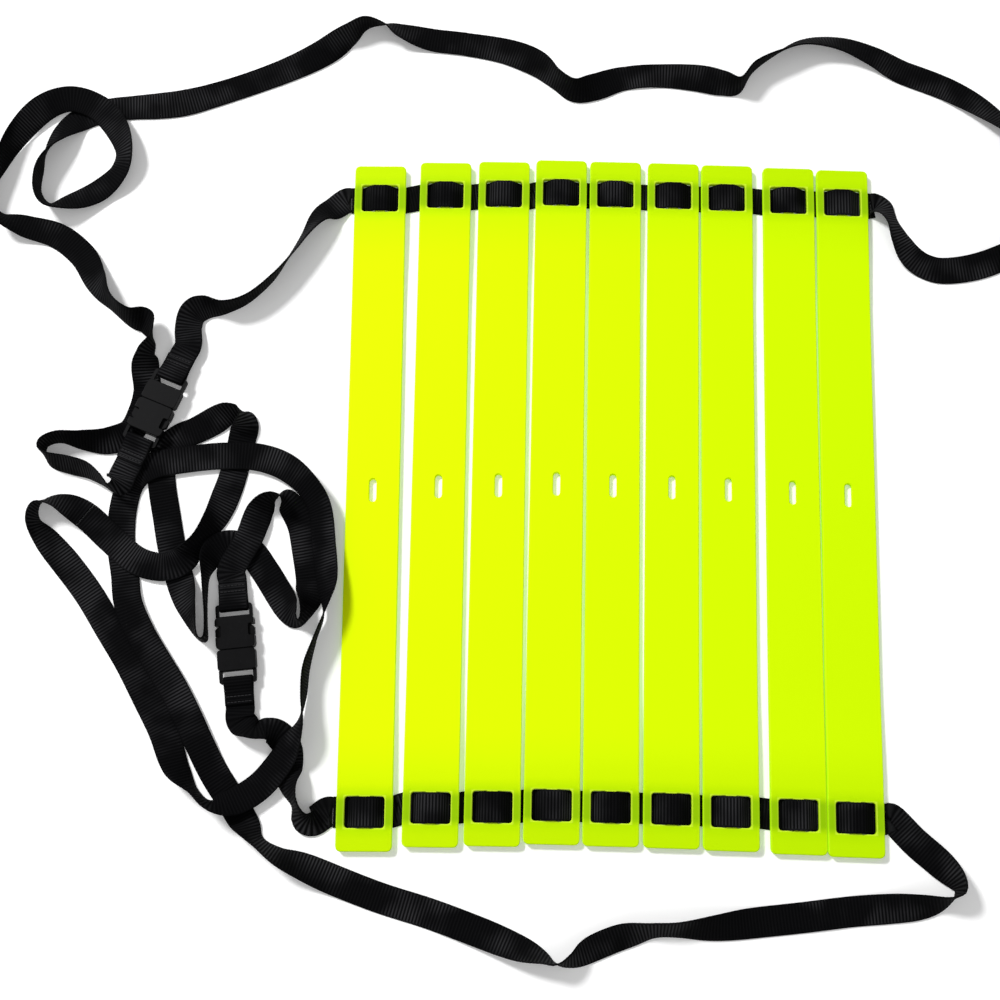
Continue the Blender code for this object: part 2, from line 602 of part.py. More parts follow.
def surface_samples(centres, widths):
    """Points over a strap's middle surface, with the arc position of each."""
    arc = np.concatenate([[0], np.cumsum(np.linalg.norm(np.diff(centres, axis=0), axis=1))])
    dense = np.linspace(0, arc[-1], max(2, int(arc[-1] / GAP_STEP)))
    middle = np.column_stack([np.interp(dense, arc, centres[:, k]) for k in range(3)])
    across = np.column_stack([np.interp(dense, arc, widths[:, k]) for k in range(3)])
    across /= np.linalg.norm(across, axis=1)[:, None]
    shares = np.linspace(-1, 1, GAP_SAMPLES)[:, None, None]
    points = middle[None] + across[None] * shares * STRAP_WIDTH / 2
    arcs = np.broadcast_to(dense[None], points.shape[:2])
    return points.reshape(-1, 3), arcs.reshape(-1)


def least_gap(first, second, same):
    """Least free distance between two straps, or between a strap and another turn of itself."""
    points, arcs = first
    others, other_arcs = second
    least = (1.0, 0.0, 0.0)
    for start in range(0, len(points), GAP_BLOCK):
        block = slice(start, start + GAP_BLOCK)
        away = np.linalg.norm(points[block][:, None] - others[None], axis=2)
        if same:
            away[np.abs(arcs[block][:, None] - other_arcs[None]) < SELF_GAP_ARC] = 1.0
        at = np.unravel_index(away.argmin(), away.shape)
        if away[at] < least[0]:
            least = (float(away[at]), float(arcs[start + at[0]]), float(other_arcs[at[1]]))
    return least[0] - STRAP_THICKNESS, least[1], least[2]


def buckle_matrix(socket_bar, plug_bar, height):
    """Frame of a buckle: U along X from socket to plug, its mouth at the origin."""
    moved = spread(socket_bar[0]) - socket_bar[0]
    start = Vector((socket_bar[0] + moved, socket_bar[1], height))
    along = (Vector((plug_bar[0] + moved, plug_bar[1], height)) - start).normalized()
    across = Vector((0, 0, 1)).cross(along)
    turn = Matrix((along, across, Vector((0, 0, 1)))).transposed().to_4x4()
    return Matrix.Translation(start - along * SOCKET_BAR_AT) @ turn


def frame_prisms(bar_at, outward, body_at):
    """The flat frame round a webbing slot, and the slot, on the side that outward points to."""
    outer = bar_at + outward * BAR_HALF
    inner = body_at - outward * FRAME_SINK
    slot_outer = bar_at - outward * BAR_HALF
    slot_inner = slot_outer - outward * STRAP_SLOT_LENGTH
    frame = prism(
        rounded_rectangle(
            min(outer, inner), max(outer, inner), -FRAME_HALF_WIDTH, FRAME_HALF_WIDTH, FRAME_CORNER
        ),
        -FRAME_HALF_THICKNESS,
        FRAME_HALF_THICKNESS,
    )
    slot = prism(
        rounded_rectangle(
            min(slot_outer, slot_inner),
            max(slot_outer, slot_inner),
            -STRAP_SLOT_HALF_WIDTH,
            STRAP_SLOT_HALF_WIDTH,
            STRAP_SLOT_CORNER,
        ),
        -CUT_OVERRUN,
        CUT_OVERRUN,
    )
    return frame, slot


def socket_mesh():
    """Buckle socket: a hollow body open at its mouth and at both sides, and a webbing bar."""
    body = prism(
        rounded_rectangle(
            SOCKET_BODY_START, 0, -SOCKET_HALF_WIDTH, SOCKET_HALF_WIDTH, SOCKET_CORNER
        ),
        -SOCKET_HALF_THICKNESS,
        SOCKET_HALF_THICKNESS,
    )
    body = combined(body, [], SOCKET_EDGE)
    frame, slot = frame_prisms(SOCKET_BAR_AT, -1, SOCKET_BODY_START)
    cavity = prism(
        rounded_rectangle(
            CAVITY_START, CUT_OVERRUN, -CAVITY_HALF_WIDTH, CAVITY_HALF_WIDTH, CAVITY_CORNER
        ),
        -CAVITY_HALF_THICKNESS,
        CAVITY_HALF_THICKNESS,
    )
    outside = SOCKET_HALF_WIDTH + CUT_OVERRUN
    notches = [
        prism(
            rounded_rectangle(NOTCH_START, NOTCH_END, low, high, NOTCH_CORNER),
            -CUT_OVERRUN,
            CUT_OVERRUN,
        )
        for low, high in ((NOTCH_INNER, outside), (-outside, -NOTCH_INNER))
    ]
    steps = [
        ("UNION", frame),
        ("DIFFERENCE", slot),
        ("DIFFERENCE", cavity),
        ("DIFFERENCE", joined(notches)),
    ]
    return combined(body, steps, FRAME_EDGE)


def plug_mesh():
    """Buckle plug without its arms: a solid base, its centre guide and a webbing bar."""
    base = prism(
        rounded_rectangle(
            MOUTH_GAP, PLUG_BODY_END, -PLUG_HALF_WIDTH, PLUG_HALF_WIDTH, PLUG_CORNER
        ),
        -PLUG_HALF_THICKNESS,
        PLUG_HALF_THICKNESS,
    )
    base = combined(base, [], PLUG_EDGE)
    frame, slot = frame_prisms(PLUG_BAR_AT, 1, PLUG_BODY_END)
    guide = prism(
        rounded_rectangle(
            GUIDE_TIP, MOUTH_GAP + GUIDE_SINK, -GUIDE_HALF_WIDTH, GUIDE_HALF_WIDTH, GUIDE_CORNER
        ),
        -GUIDE_HALF_THICKNESS,
        GUIDE_HALF_THICKNESS,
    )
    steps = [("UNION", frame), ("DIFFERENCE", slot), ("UNION", guide)]
    return combined(base, steps, FRAME_EDGE)


def arm_mesh(side):
    """One spring arm of a plug, about its own root, with the catch that shows at the side."""
    outline = [(u - ARM_PIVOT[0], side * (v - ARM_PIVOT[1])) for u, v in ARM_OUTLINE]
    return prism(outline, -ARM_HALF_THICKNESS, ARM_HALF_THICKNESS)


def end_loop_mesh(bar_at, outward):
    """Sewn strap end, folded round a buckle's bar, in the buckle's frame."""
    centres = [(bar_at + outward * s, 0, z) for s, z in END_LOOP]
    widths = [(0, 1, 0) for _ in END_LOOP]
    return band_mesh(centres, widths)


def approach(matrix, bar_at, outward):
    """Last two route points of a strap that meets a buckle's sewn end."""
    low = matrix.translation.z + END_LOOP[0][1] - STRAP_THICKNESS / 2
    reach = END_LOOP[0][0] + CLEARANCE
    found = []
    for distance in (reach + END_APPROACH, reach):
        at = matrix @ Vector((bar_at + outward * distance, 0, 0))
        found.append((at.x, at.y, low))
    return found


def build():
    """Model every piece."""
    clear_scene()
    parts = bpy.data.collections.new(PART_NAME)
    bpy.context.scene.collection.children.link(parts)

    plate = rung_mesh()
    for number, place in enumerate(rung_places(), start=1):
        name = f"rung_{number}"
        look = material(f"{name}_plastic", NEON, RUNG_ROUGHNESS)
        placed(name, plate.copy(), look, parts, rung_matrix(place))
    print("rung triangles", sum(len(p.vertices) - 2 for p in plate.polygons))

    frames = {
        "a": buckle_matrix(BUCKLE_A_SOCKET_BAR, BUCKLE_A_PLUG_BAR, BUCKLE_A_HEIGHT),
        "b": buckle_matrix(BUCKLE_B_SOCKET_BAR, BUCKLE_B_PLUG_BAR, BUCKLE_B_HEIGHT),
    }
    socket = socket_mesh()
    plug = plug_mesh()
    for letter, matrix in frames.items():
        for name, mesh, at in (
            (f"buckle_{letter}_socket", socket.copy(), matrix),
            (f"buckle_{letter}_plug", plug.copy(), matrix),
            (
                f"buckle_{letter}_arm_left",
                arm_mesh(1),
                matrix @ Matrix.Translation((ARM_PIVOT[0], ARM_PIVOT[1], 0)),
            ),
            (
                f"buckle_{letter}_arm_right",
                arm_mesh(-1),
                matrix @ Matrix.Translation((ARM_PIVOT[0], -ARM_PIVOT[1], 0)),
            ),
        ):
            look = material(f"{name}_plastic", PLASTIC_BLACK, BUCKLE_ROUGHNESS)
            placed(name, mesh, look, parts, at)

    for name, letter, bar_at, outward in (
        ("far_left_end_loop", "a", PLUG_BAR_AT, 1),
        ("far_right_end_loop", "a", SOCKET_BAR_AT, -1),
        ("near_left_end_loop", "b", PLUG_BAR_AT, 1),
        ("near_right_end_loop", "b", SOCKET_BAR_AT, -1),
    ):
        look = material(f"{name}_webbing", WEBBING_BLACK, WEBBING_ROUGHNESS)
        placed(name, end_loop_mesh(bar_at, outward), look, parts, frames[letter])

    lines = {}
    ends = {}
    woven_across = {}
    for name, end in (("far_strap_woven", 1), ("near_strap_woven", -1)):
        centres, widths = woven_line(end)
        lines[name] = (np.array(centres), np.array(widths))
        ends[name] = centres
        woven_across[name] = widths
    for name, woven, first, route, letter, bar_at, outward, splits, stretches in (
        (
            "far_left",
            "far_strap_woven",
            True,
            FAR_LEFT_ROUTE,
            "a",
            PLUG_BAR_AT,
            1,
            [],
            ["far_strap_left"],
        ),
        (
            "far_right",
            "far_strap_woven",
            False,
            FAR_RIGHT_ROUTE,
            "a",
            SOCKET_BAR_AT,
            -1,
            FAR_RIGHT_SPLITS,
            ["far_strap_sweep", "far_strap_coil"],
        ),
        (
            "near_left",
            "near_strap_woven",
            True,
            NEAR_LEFT_ROUTE,
            "b",
            PLUG_BAR_AT,
            1,
            [],
            ["near_strap_left"],
        ),
        (
            "near_right",
            "near_strap_woven",
            False,
            NEAR_RIGHT_ROUTE,
            "b",
            SOCKET_BAR_AT,
            -1,
            NEAR_RIGHT_SPLITS,
            ["near_strap_sweep", "near_strap_outer_loop", "near_strap_inner_loop"],
        ),
    ):
        centres = ends[woven]
        at, inward = (centres[0], centres[1]) if first else (centres[-1], centres[-2])
        away = (at - inward).normalized()
        start = at + away * CLEARANCE
        lead = start + away * LEAD_LENGTH
        roll = round(route[-1][3] / 180) * 180
        points = [(start.x, start.y, 0, 0), (lead.x, lead.y, 0, 0)]
        points += [(spread(x), y, low, turn) for x, y, low, turn in route]
        points += [(x, y, z, roll) for x, y, z in approach(frames[letter], bar_at, outward)]
        line, across, marks = route_line(points)
        across[0] = aligned(woven_across[woven][0 if first else -1], across[0])
        across[-1] = aligned(frames[letter].to_3x3().col[1], across[-1])
        cuts = [0] + [marks[n] for n in splits] + [len(line) - 1]
        length = float(np.linalg.norm(np.diff(line, axis=0), axis=1).sum())
        print(name, "length", round(length, 4), "route points", len(points))
        for n, stretch in enumerate(stretches):
            piece = slice(cuts[n], cuts[n + 1] + 1)
            lines[stretch] = trimmed(
                line[piece],
                across[piece],
                CLEARANCE / 2 if n else 0,
                CLEARANCE / 2 if n + 1 < len(stretches) else 0,
            )
        gap = least_gap(surface_samples(line, across), surface_samples(line, across), True)
        print(name, "least gap to itself", [round(v, 5) for v in gap])

    identity = Matrix.Identity(4)
    for name, (centres, widths) in lines.items():
        look = material(f"{name}_webbing", WEBBING_BLACK, WEBBING_ROUGHNESS)
        placed(name, band_mesh(centres, widths, 0), look, parts, identity)

    samples = {name: surface_samples(*line) for name, line in lines.items()}
    names = sorted(samples)
    for n, name in enumerate(names):
        for other in names[n + 1 :]:
            gap = least_gap(samples[name], samples[other], False)
            if gap[0] < GAP_REPORT:
                print("gap", name, other, [round(v, 5) for v in gap])


build()
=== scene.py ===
"""Look of a bundled agility ladder: neon rungs on two woven black straps, with two buckles.

Every length is in metres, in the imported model's own frame: X across the rungs, Y along them.
"""

from __future__ import annotations

import json
import logging
import math
from dataclasses import dataclass
from enum import Enum
from typing import ClassVar

import bpy
import numpy as np
from mathutils import Matrix, Vector

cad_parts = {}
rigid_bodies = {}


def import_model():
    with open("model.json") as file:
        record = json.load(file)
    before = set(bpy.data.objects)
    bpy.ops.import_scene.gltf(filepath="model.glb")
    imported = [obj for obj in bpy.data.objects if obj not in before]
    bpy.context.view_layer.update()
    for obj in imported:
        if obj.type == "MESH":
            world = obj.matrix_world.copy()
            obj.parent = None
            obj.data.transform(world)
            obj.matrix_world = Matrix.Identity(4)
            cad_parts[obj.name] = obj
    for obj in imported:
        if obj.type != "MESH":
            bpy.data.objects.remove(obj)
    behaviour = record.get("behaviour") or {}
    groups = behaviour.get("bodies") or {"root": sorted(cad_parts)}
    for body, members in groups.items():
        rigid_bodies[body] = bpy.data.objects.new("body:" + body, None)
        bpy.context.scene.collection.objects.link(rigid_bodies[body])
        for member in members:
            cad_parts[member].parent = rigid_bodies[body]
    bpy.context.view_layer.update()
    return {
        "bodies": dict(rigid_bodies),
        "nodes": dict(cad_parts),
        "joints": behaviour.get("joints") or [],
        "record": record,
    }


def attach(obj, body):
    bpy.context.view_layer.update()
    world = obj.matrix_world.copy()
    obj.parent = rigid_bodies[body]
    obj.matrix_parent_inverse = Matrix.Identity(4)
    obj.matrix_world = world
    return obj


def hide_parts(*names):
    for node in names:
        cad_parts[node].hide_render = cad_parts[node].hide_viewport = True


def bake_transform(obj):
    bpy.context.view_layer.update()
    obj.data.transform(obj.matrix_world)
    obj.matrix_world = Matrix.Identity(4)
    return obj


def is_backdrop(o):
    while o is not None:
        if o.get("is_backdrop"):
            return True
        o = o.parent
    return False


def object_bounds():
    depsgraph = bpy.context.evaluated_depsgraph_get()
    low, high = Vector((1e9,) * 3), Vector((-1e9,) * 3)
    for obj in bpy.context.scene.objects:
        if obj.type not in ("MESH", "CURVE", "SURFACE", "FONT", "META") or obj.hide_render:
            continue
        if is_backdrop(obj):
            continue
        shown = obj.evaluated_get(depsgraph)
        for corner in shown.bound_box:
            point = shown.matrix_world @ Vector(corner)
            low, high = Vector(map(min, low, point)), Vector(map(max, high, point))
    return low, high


LOG = logging.getLogger("agility_ladder")

MM = 0.001
HALF_TURN = 180
QUAD = 4
UP = Vector((0, 0, 1))
ROOT = "straps"
STRAP_MAP = "strap"
RIB = 2.2 * MM
RIB_SECTIONS = 4
SHORTEST_SECTION = 0.3

# The screen's colour curve: its white, the end of its straight part, and its curved part
WHITE_LEVEL = 255.0
STRAIGHT_END = 0.04045
STRAIGHT_SLOPE = 12.92
CURVE_SHIFT = 0.055
CURVE_POWER = 2.4

# The free straps' routes in millimetres: place along X, place along Y, height of the lowest edge.
# The last value is the strap's roll in degrees.
FAR_LEFT_ROUTE = (
    (-206.7, 212.4, 0, 8), (-216.2, 204.7, 0, 34), (-224.8, 190.5, 0, 58), (-234.8, 173.3, 0, 68),
    (-247.6, 154, 0, 80), (-264.9, 137.2, 0, 86), (-281.9, 129.9, 0, 98), (-296.2, 130.2, 0, 128),
    (-305.5, 126.7, 0.6, 160), (-308.4, 116.5, 2.2, 180),
)
FAR_RIGHT_ROUTE = (
    (203.5, 218, 0, -35), (208.5, 208.5, 0, -48), (213.8, 196.5, 0, -32), (221.5, 185, 0, -10),
    (232, 177, 0, 0), (246, 173, 0, 6), (269.1, 176.2, 0, 12), (290.7, 184.2, 0, 30),
    (311.5, 197.2, 0, 65), (323, 221.1, 0, 88), (321.9, 250, 0, 85), (307.6, 274.9, 0, 55),
    (285.8, 300.7, 0, 20), (258.2, 320.2, 0, 2), (223.1, 334.9, 0, 0), (199.3, 347.3, 0, 15),
    (174.5, 355.4, 0, 32), (148, 355.2, 0, 50), (125.4, 344.4, 0, 72), (107.6, 332.1, 0, 88),
    (96.8, 316.8, 0, 100), (83.4, 319.1, 0, 128), (63.6, 325.3, 0, 160), (37.2, 328.3, 0, 180),
    (8.2, 325, 0, 178), (-12.7, 315.2, 0, 150), (-28.7, 310.5, 0, 122), (-42.5, 319.1, 0, 112),
    (-56.4, 332.7, 0, 138), (-79.5, 345, 0, 168), (-108.9, 351.6, 0, 180), (-138.3, 354.9, 0, 184),
    (-161.3, 359.4, 0, 212), (-174.2, 363.1, 0, 242), (-188.7, 363.1, 0, 268),
    (-201.4, 353.1, 0, 298), (-219.7, 340.8, 0, 335), (-246.2, 327.6, 0, 354),
    (-276.3, 314.9, 0, 360), (-304.5, 303.8, 0, 356), (-325, 296.4, 0, 345),
    (-343.2, 293.8, 0, 348), (-365, 292.8, 0, 360), (-387.6, 288.9, 0, 360),
    (-405.7, 279.8, 0, 364), (-418.9, 261.6, 0, 402), (-426.6, 240.3, 0, 444),
    (-427.6, 220.8, 0, 452), (-418.4, 208.4, 0, 474), (-400.8, 213.3, 0, 514),
    (-382.9, 223.8, 0, 530), (-369.1, 238.2, 0, 512), (-366, 255.4, 1.6, 500),
    (-375, 275.3, 2.6, 522), (-390.6, 291.1, 2.6, 534), (-410.8, 297, 2.6, 530),
    (-429.6, 287.6, 2.4, 512), (-446.5, 264.7, 0.6, 482), (-457.3, 239.6, 0, 456),
    (-463.8, 216.8, 0, 446), (-454.8, 198.9, 0, 478), (-435.9, 193, 0, 522),
    (-411.6, 186.8, 0, 540), (-391.2, 171, 0, 544), (-378.7, 150.7, 0, 568),
    (-365.7, 132.8, 0, 610), (-351.6, 121.6, 0, 606), (-338.8, 118.9, 0, 580),
    (-332.4, 105.5, 0, 624), (-336.1, 94.1, 0, 654), (-337.1, 83, 0, 702), (-335.4, 68.1, 0, 720),
    (-337.9, 52.3, 0, 720), (-344.6, 36.8, 0, 718), (-358.6, 28, 0, 688), (-376.7, 27.2, 0, 660),
    (-393.1, 28.9, 0, 640), (-403.4, 24.9, 0, 632), (-404.1, 18, 0, 630), (-397.1, 11.8, 0, 610),
    (-384, 8.5, 0.4, 602), (-370, 4.5, 2.2, 606), (-359, -2.5, 3.6, 618), (-352, -8.8, 4.4, 626),
    (-347.8, -7.5, 4.8, 606), (-346.8, -2, 5, 572),
)
NEAR_RIGHT_ROUTE = (
    (207.3, -238.5, 0, 5), (221.4, -251.2, 0, 22), (231.5, -262.5, 0, 58), (233.3, -270.8, 0, 88),
    (225.3, -276.7, 0, 112), (209.5, -280.4, 0, 145), (188.6, -282.3, 0, 170),
    (162.4, -284.9, 0, 180), (129, -289.6, 0, 180), (98.9, -293.4, 0, 175), (71.6, -297.1, 0, 148),
    (48.2, -298.7, 0, 122), (29.7, -299.8, 0, 122), (10.2, -304.2, 0, 150), (-9.5, -312.3, 0, 150),
    (-23.4, -319.9, 0, 118), (-33.3, -322, 0, 92), (-43.2, -317.9, 0, 66), (-60.3, -312.2, 0, 32),
    (-85.1, -303.5, 0, 8), (-117.4, -292.8, 0, 0), (-151.2, -283.3, 0, 0), (-181, -273, 0, 5),
    (-202.5, -264.4, 0, 28), (-220.4, -257.6, 0, 58), (-234.9, -247.6, 0, 70),
    (-245.4, -234.7, 0, 24), (-255.1, -221.6, 0, 0), (-267.9, -203.8, 0, 0),
    (-278.4, -185.3, 1.9, 0), (-288.7, -165.9, 2.1, 0), (-299.8, -147, 2.1, 0),
    (-313, -127.9, 2.1, 0), (-325.7, -108.7, 2.1, 0), (-335.8, -88.4, 1.9, 0),
    (-340.1, -67.6, 0.3, 0), (-345, -43.2, 0, 0), (-345.1, -17.7, 0, 0), (-339.9, 0.5, 0.9, 0),
    (-326.7, 10.7, 2.6, 0), (-304.9, 15.7, 2.5, 0), (-277.1, 19.2, 2.6, 0), (-252.6, 18.9, 2.6, 4),
    (-231.8, 12, 3.1, 16), (-215, -1.5, 3, 32), (-204.2, -18.7, 3, 32), (-200.1, -45.1, 2.8, 28),
    (-196.2, -71.7, 4, 40), (-197, -93.2, 3, 80), (-203, -112.5, 0.6, 88), (-207.7, -131.9, 0, 96),
    (-208.5, -152.6, 1.2, 92), (-210.3, -171.6, 3.2, 66), (-219.8, -191.6, 3.6, 20),
    (-233.4, -209.9, 3, 8), (-248.1, -220.9, 2.8, 12), (-259.8, -225.3, 3, 44),
    (-269.6, -224.2, 2.2, 76), (-280.1, -215.8, 0, 80), (-292.7, -201.4, 0, 40),
    (-303.8, -177.7, 0, 8), (-317.7, -154, 0, 0), (-332.2, -129.5, 0, 0), (-347.3, -107.4, 0, 0),
    (-363.4, -83.8, 0, 0), (-379.7, -63.7, 0, 8), (-394.9, -46.3, 0, 35), (-405.7, -32.1, 0, 74),
    (-404.1, -19.8, 0, 98), (-390, -17.6, 0, 130), (-371.3, -26.3, 1.6, 172),
    (-352.3, -42.4, 2.2, 180), (-332.5, -57.9, 2.2, 184), (-313.6, -62.7, 2.7, 186),
    (-299.2, -57.9, 2.8, 202), (-289.2, -45.6, 0.6, 250), (-277.5, -26.5, 0, 222),
    (-270.7, -4, 0, 190), (-266.6, 15.7, 0, 180), (-264, 32.1, 0, 182), (-261.6, 42.6, 0, 214),
    (-264.4, 51.1, 0, 262), (-273.1, 50.5, 0, 300), (-284.3, 44.7, 0, 335), (-296.9, 38.7, 0, 356),
    (-308.9, 33.4, 0, 360), (-317.6, 25, 0, 360), (-320.3, 13, 0, 360), (-319.1, -2.5, 0, 360),
    (-313.7, -26.5, 0, 360), (-308.5, -48.2, 0, 360), (-301, -71, 0, 362), (-292.3, -93.2, 0, 406),
    (-284.2, -111.5, 0, 442), (-278.6, -112.8, 0, 452), (-279.2, -98.9, 0, 456),
    (-280.8, -82.1, 0, 452), (-281.4, -67.2, 0, 442), (-278.5, -53.6, 0, 402),
    (-269, -44.6, 0, 364), (-253.9, -48.4, 0, 360), (-241.7, -63.2, 0, 360),
    (-229.5, -81.2, 0, 364), (-220.5, -94.5, 0, 404), (-213.5, -100.3, 0, 446),
    (-209.4, -89, 0, 422), (-209.4, -70.5, 0, 362), (-213.6, -47.5, 0, 360),
    (-218.2, -28.7, 0, 360), (-225.4, -16.6, 0, 382), (-232.1, -10, 0, 430),
    (-240.5, -12.5, 0, 466), (-246.2, -19.8, 0, 502), (-250.2, -29.6, 2.4, 532),
    (-254.5, -41.8, 2.9, 540),
)
NEAR_LEFT_ROUTE = (
    (-198.5, -234.5, 0, -16), (-206.2, -232.5, 0, -50), (-210.8, -223.4, 0, -72),
    (-215.2, -211.6, 0, -48), (-216.6, -199.4, 0, -12), (-218.3, -187.2, 0, 0),
    (-223.8, -178.4, 0, 4), (-232.4, -174.3, 0, 34), (-241.6, -174.8, 0.6, 52),
)


def tone(red: float, green: float, blue: float) -> tuple[float, float, float]:
    """Turn a screen colour into the linear colour that shaders use.

    Args:
        red: Red on a scale of 0 to 255.
        green: Green on the same scale.
        blue: Blue on the same scale.

    Returns:
        The linear red, green and blue.
    """
    shares = np.array([red, green, blue]) / WHITE_LEVEL
    curved = ((shares + CURVE_SHIFT) / (1 + CURVE_SHIFT)) ** CURVE_POWER
    linear = np.where(shares <= STRAIGHT_END, shares / STRAIGHT_SLOPE, curved)
    return tuple(float(v) for v in linear)


def turn(angle: float, axis: str) -> Matrix:
    """Return the 4 by 4 matrix of a turn in radians about an axis."""
    return Matrix.Rotation(angle, 4, axis)


class Wire:
    """One shader value. Arithmetic on wires adds maths nodes to their graph."""

    def __init__(self, graph: Graph, socket: bpy.types.NodeSocket) -> None:
        """Wrap an output socket.

        Args:
            graph: The graph that the socket belongs to.
            socket: The output socket.
        """
        self.graph = graph
        self.socket = socket

    def maths(self, operation: str, *values: Wire | float, clamp: bool = False) -> Wire:
        """Add a maths node.

        Args:
            operation: The node's operation.
            values: Its inputs, in order.
            clamp: Whether the result is kept from 0 to 1.

        Returns:
            The node's result.
        """
        settings = {"operation": operation, "use_clamp": clamp}
        return self.graph.node("ShaderNodeMath", settings, values)

    def __add__(self, other: Wire | float) -> Wire:
        """Return the sum."""
        return self.maths("ADD", self, other)

    def __radd__(self, other: float) -> Wire:
        """Return the sum with a number on the left."""
        return self.maths("ADD", other, self)

    def __sub__(self, other: Wire | float) -> Wire:
        """Return the difference."""
        return self.maths("SUBTRACT", self, other)

    def __rsub__(self, other: float) -> Wire:
        """Return what is left of a number."""
        return self.maths("SUBTRACT", other, self)

    def __mul__(self, other: Wire | float) -> Wire:
        """Return the product."""
        return self.maths("MULTIPLY", self, other)

    def __rmul__(self, other: float) -> Wire:
        """Return the product with a number on the left."""
        return self.maths("MULTIPLY", other, self)

    def __truediv__(self, other: Wire | float) -> Wire:
        """Return the quotient."""
        return self.maths("DIVIDE", self, other)

    def __pow__(self, other: Wire | float) -> Wire:
        """Return the power."""
        return self.maths("POWER", self, other)

    def __abs__(self) -> Wire:
        """Return the value without its sign."""
        return self.maths("ABSOLUTE", self)

    def cosine(self) -> Wire:
        """Return the cosine of an angle in radians."""
        return self.maths("COSINE", self)

    def floor(self) -> Wire:
        """Return the value rounded down."""
        return self.maths("FLOOR", self)

    def larger(self, other: Wire | float) -> Wire:
        """Return the larger of two values."""
        return self.maths("MAXIMUM", self, other)

    def ramp(self, low: float, high: float) -> Wire:
        """Rise smoothly from 0 at low to 1 at high."""
        share = self.maths("MULTIPLY", self - low, 1.0 / (high - low), clamp=True)
        return share * share * (3.0 - 2.0 * share)


class Graph:
    """One material's node graph, with its Principled shader."""

    # The places of a colour mix node's sockets: its share and its two colours, and its result
    MIX_INPUTS = (0, 6, 7)
    MIX_OUTPUT = 2

    def __init__(self, name: str) -> None:
        """Make a material.

        Args:
            name: The material's name.
        """
        self.material = bpy.data.materials.new(name)
        self.material.use_nodes = True
        self.tree = self.material.node_tree
        self.shader = self.tree.nodes["Principled BSDF"]

    def node(
        self,
        kind: str,
        settings: dict | None = None,
        inputs: dict | tuple | list = (),
        output: int | str = 0,
    ) -> Wire:
        """Add any node.

        Args:
            kind: The node's type name.
            settings: Attributes to set on it.
            inputs: Values or wires for its inputs, by place or by name.
            output: Which output to return.

        Returns:
            The chosen output.
        """
        made = self.tree.nodes.new(kind)
        for key, value in (settings or {}).items():
            setattr(made, key, value)
        pairs = inputs.items() if isinstance(inputs, dict) else enumerate(inputs)
        for key, value in pairs:
            self.feed(made.inputs[key], value)
        return Wire(self, made.outputs[output])

    def feed(self, socket: bpy.types.NodeSocket, value: Wire | float | tuple) -> None:
        """Link a wire to an input, or set the input's value.

        Args:
            socket: The input socket.
            value: A wire, a number, or a colour of three numbers.
        """
        if isinstance(value, Wire):
            self.tree.links.new(value.socket, socket)
        elif socket.type == "RGBA":
            socket.default_value = (*value, 1.0)
        else:
            socket.default_value = value

    def blend(self, share: Wire | float, first: Wire | tuple, second: Wire | tuple) -> Wire:
        """Mix two colours, by the share of the second one."""
        inputs = dict(zip(self.MIX_INPUTS, (share, first, second)))
        return self.node("ShaderNodeMix", {"data_type": "RGBA"}, inputs, self.MIX_OUTPUT)

    def split(self, vector: Wire) -> tuple[Wire, Wire, Wire]:
        """Take a vector apart.

        Args:
            vector: The vector.

        Returns:
            Its three parts.
        """
        first = self.node("ShaderNodeSeparateXYZ", None, [vector])
        outputs = first.socket.node.outputs
        return first, Wire(self, outputs[1]), Wire(self, outputs[2])

    def join(self, x: Wire | float, y: Wire | float, z: Wire | float) -> Wire:
        """Return a vector of three parts."""
        return self.node("ShaderNodeCombineXYZ", None, [x, y, z])

    def noise(self, vector: Wire, scale: float, detail: float = 2.0) -> Wire:
        """Return soft noise of about 0 to 1 at the given scale."""
        inputs = {"Vector": vector, "Scale": scale, "Detail": detail}
        return self.node("ShaderNodeTexNoise", None, inputs)

    def bump(self, height: Wire, distance: float, strength: float) -> Wire:
        """Return a normal tilted by a height pattern."""
        inputs = {"Height": height, "Distance": distance, "Strength": strength}
        return self.node("ShaderNodeBump", None, inputs)

    def place(self) -> Wire:
        """Return the point on the object."""
        return self.node("ShaderNodeTexCoord", output="Object")

    def cloth(self) -> tuple[Wire, Wire]:
        """Return a strap's own distances along and across it, in metres."""
        along, across, _ = self.split(self.node("ShaderNodeUVMap", {"uv_map": STRAP_MAP}))
        return along, across

    def finish(self, values: dict[str, Wire | float | tuple]) -> bpy.types.Material:
        """Set the shader's inputs.

        Args:
            values: Wires or values by the names of the inputs.

        Returns:
            The finished material.
        """
        for key, value in values.items():
            self.feed(self.shader.inputs[key], value)
        return self.material


@dataclass(frozen=True)
class Finish:
    """A finish that is the same wherever it is used."""

    def build(self, name: str) -> bpy.types.Material:
        """Make the material.

        Args:
            name: The material's name.

        Returns:
            The material.
        """
        graph = Graph(name)
        return graph.finish(self.values(graph))

    def values(self, graph: Graph) -> dict[str, Wire | float | tuple]:
        """Return the shader's inputs, with their patterns added to the graph."""
        raise NotImplementedError


@dataclass(frozen=True)
class RungPlace:
    """Where one rung lies: its middle, and its turn in degrees."""

    x: float
    y: float
    turn: float

    def matrix(self) -> Matrix:
        """Return the rung's own frame."""
        return Matrix.Translation((self.x, self.y, 0)) @ turn(math.radians(self.turn), "Z")


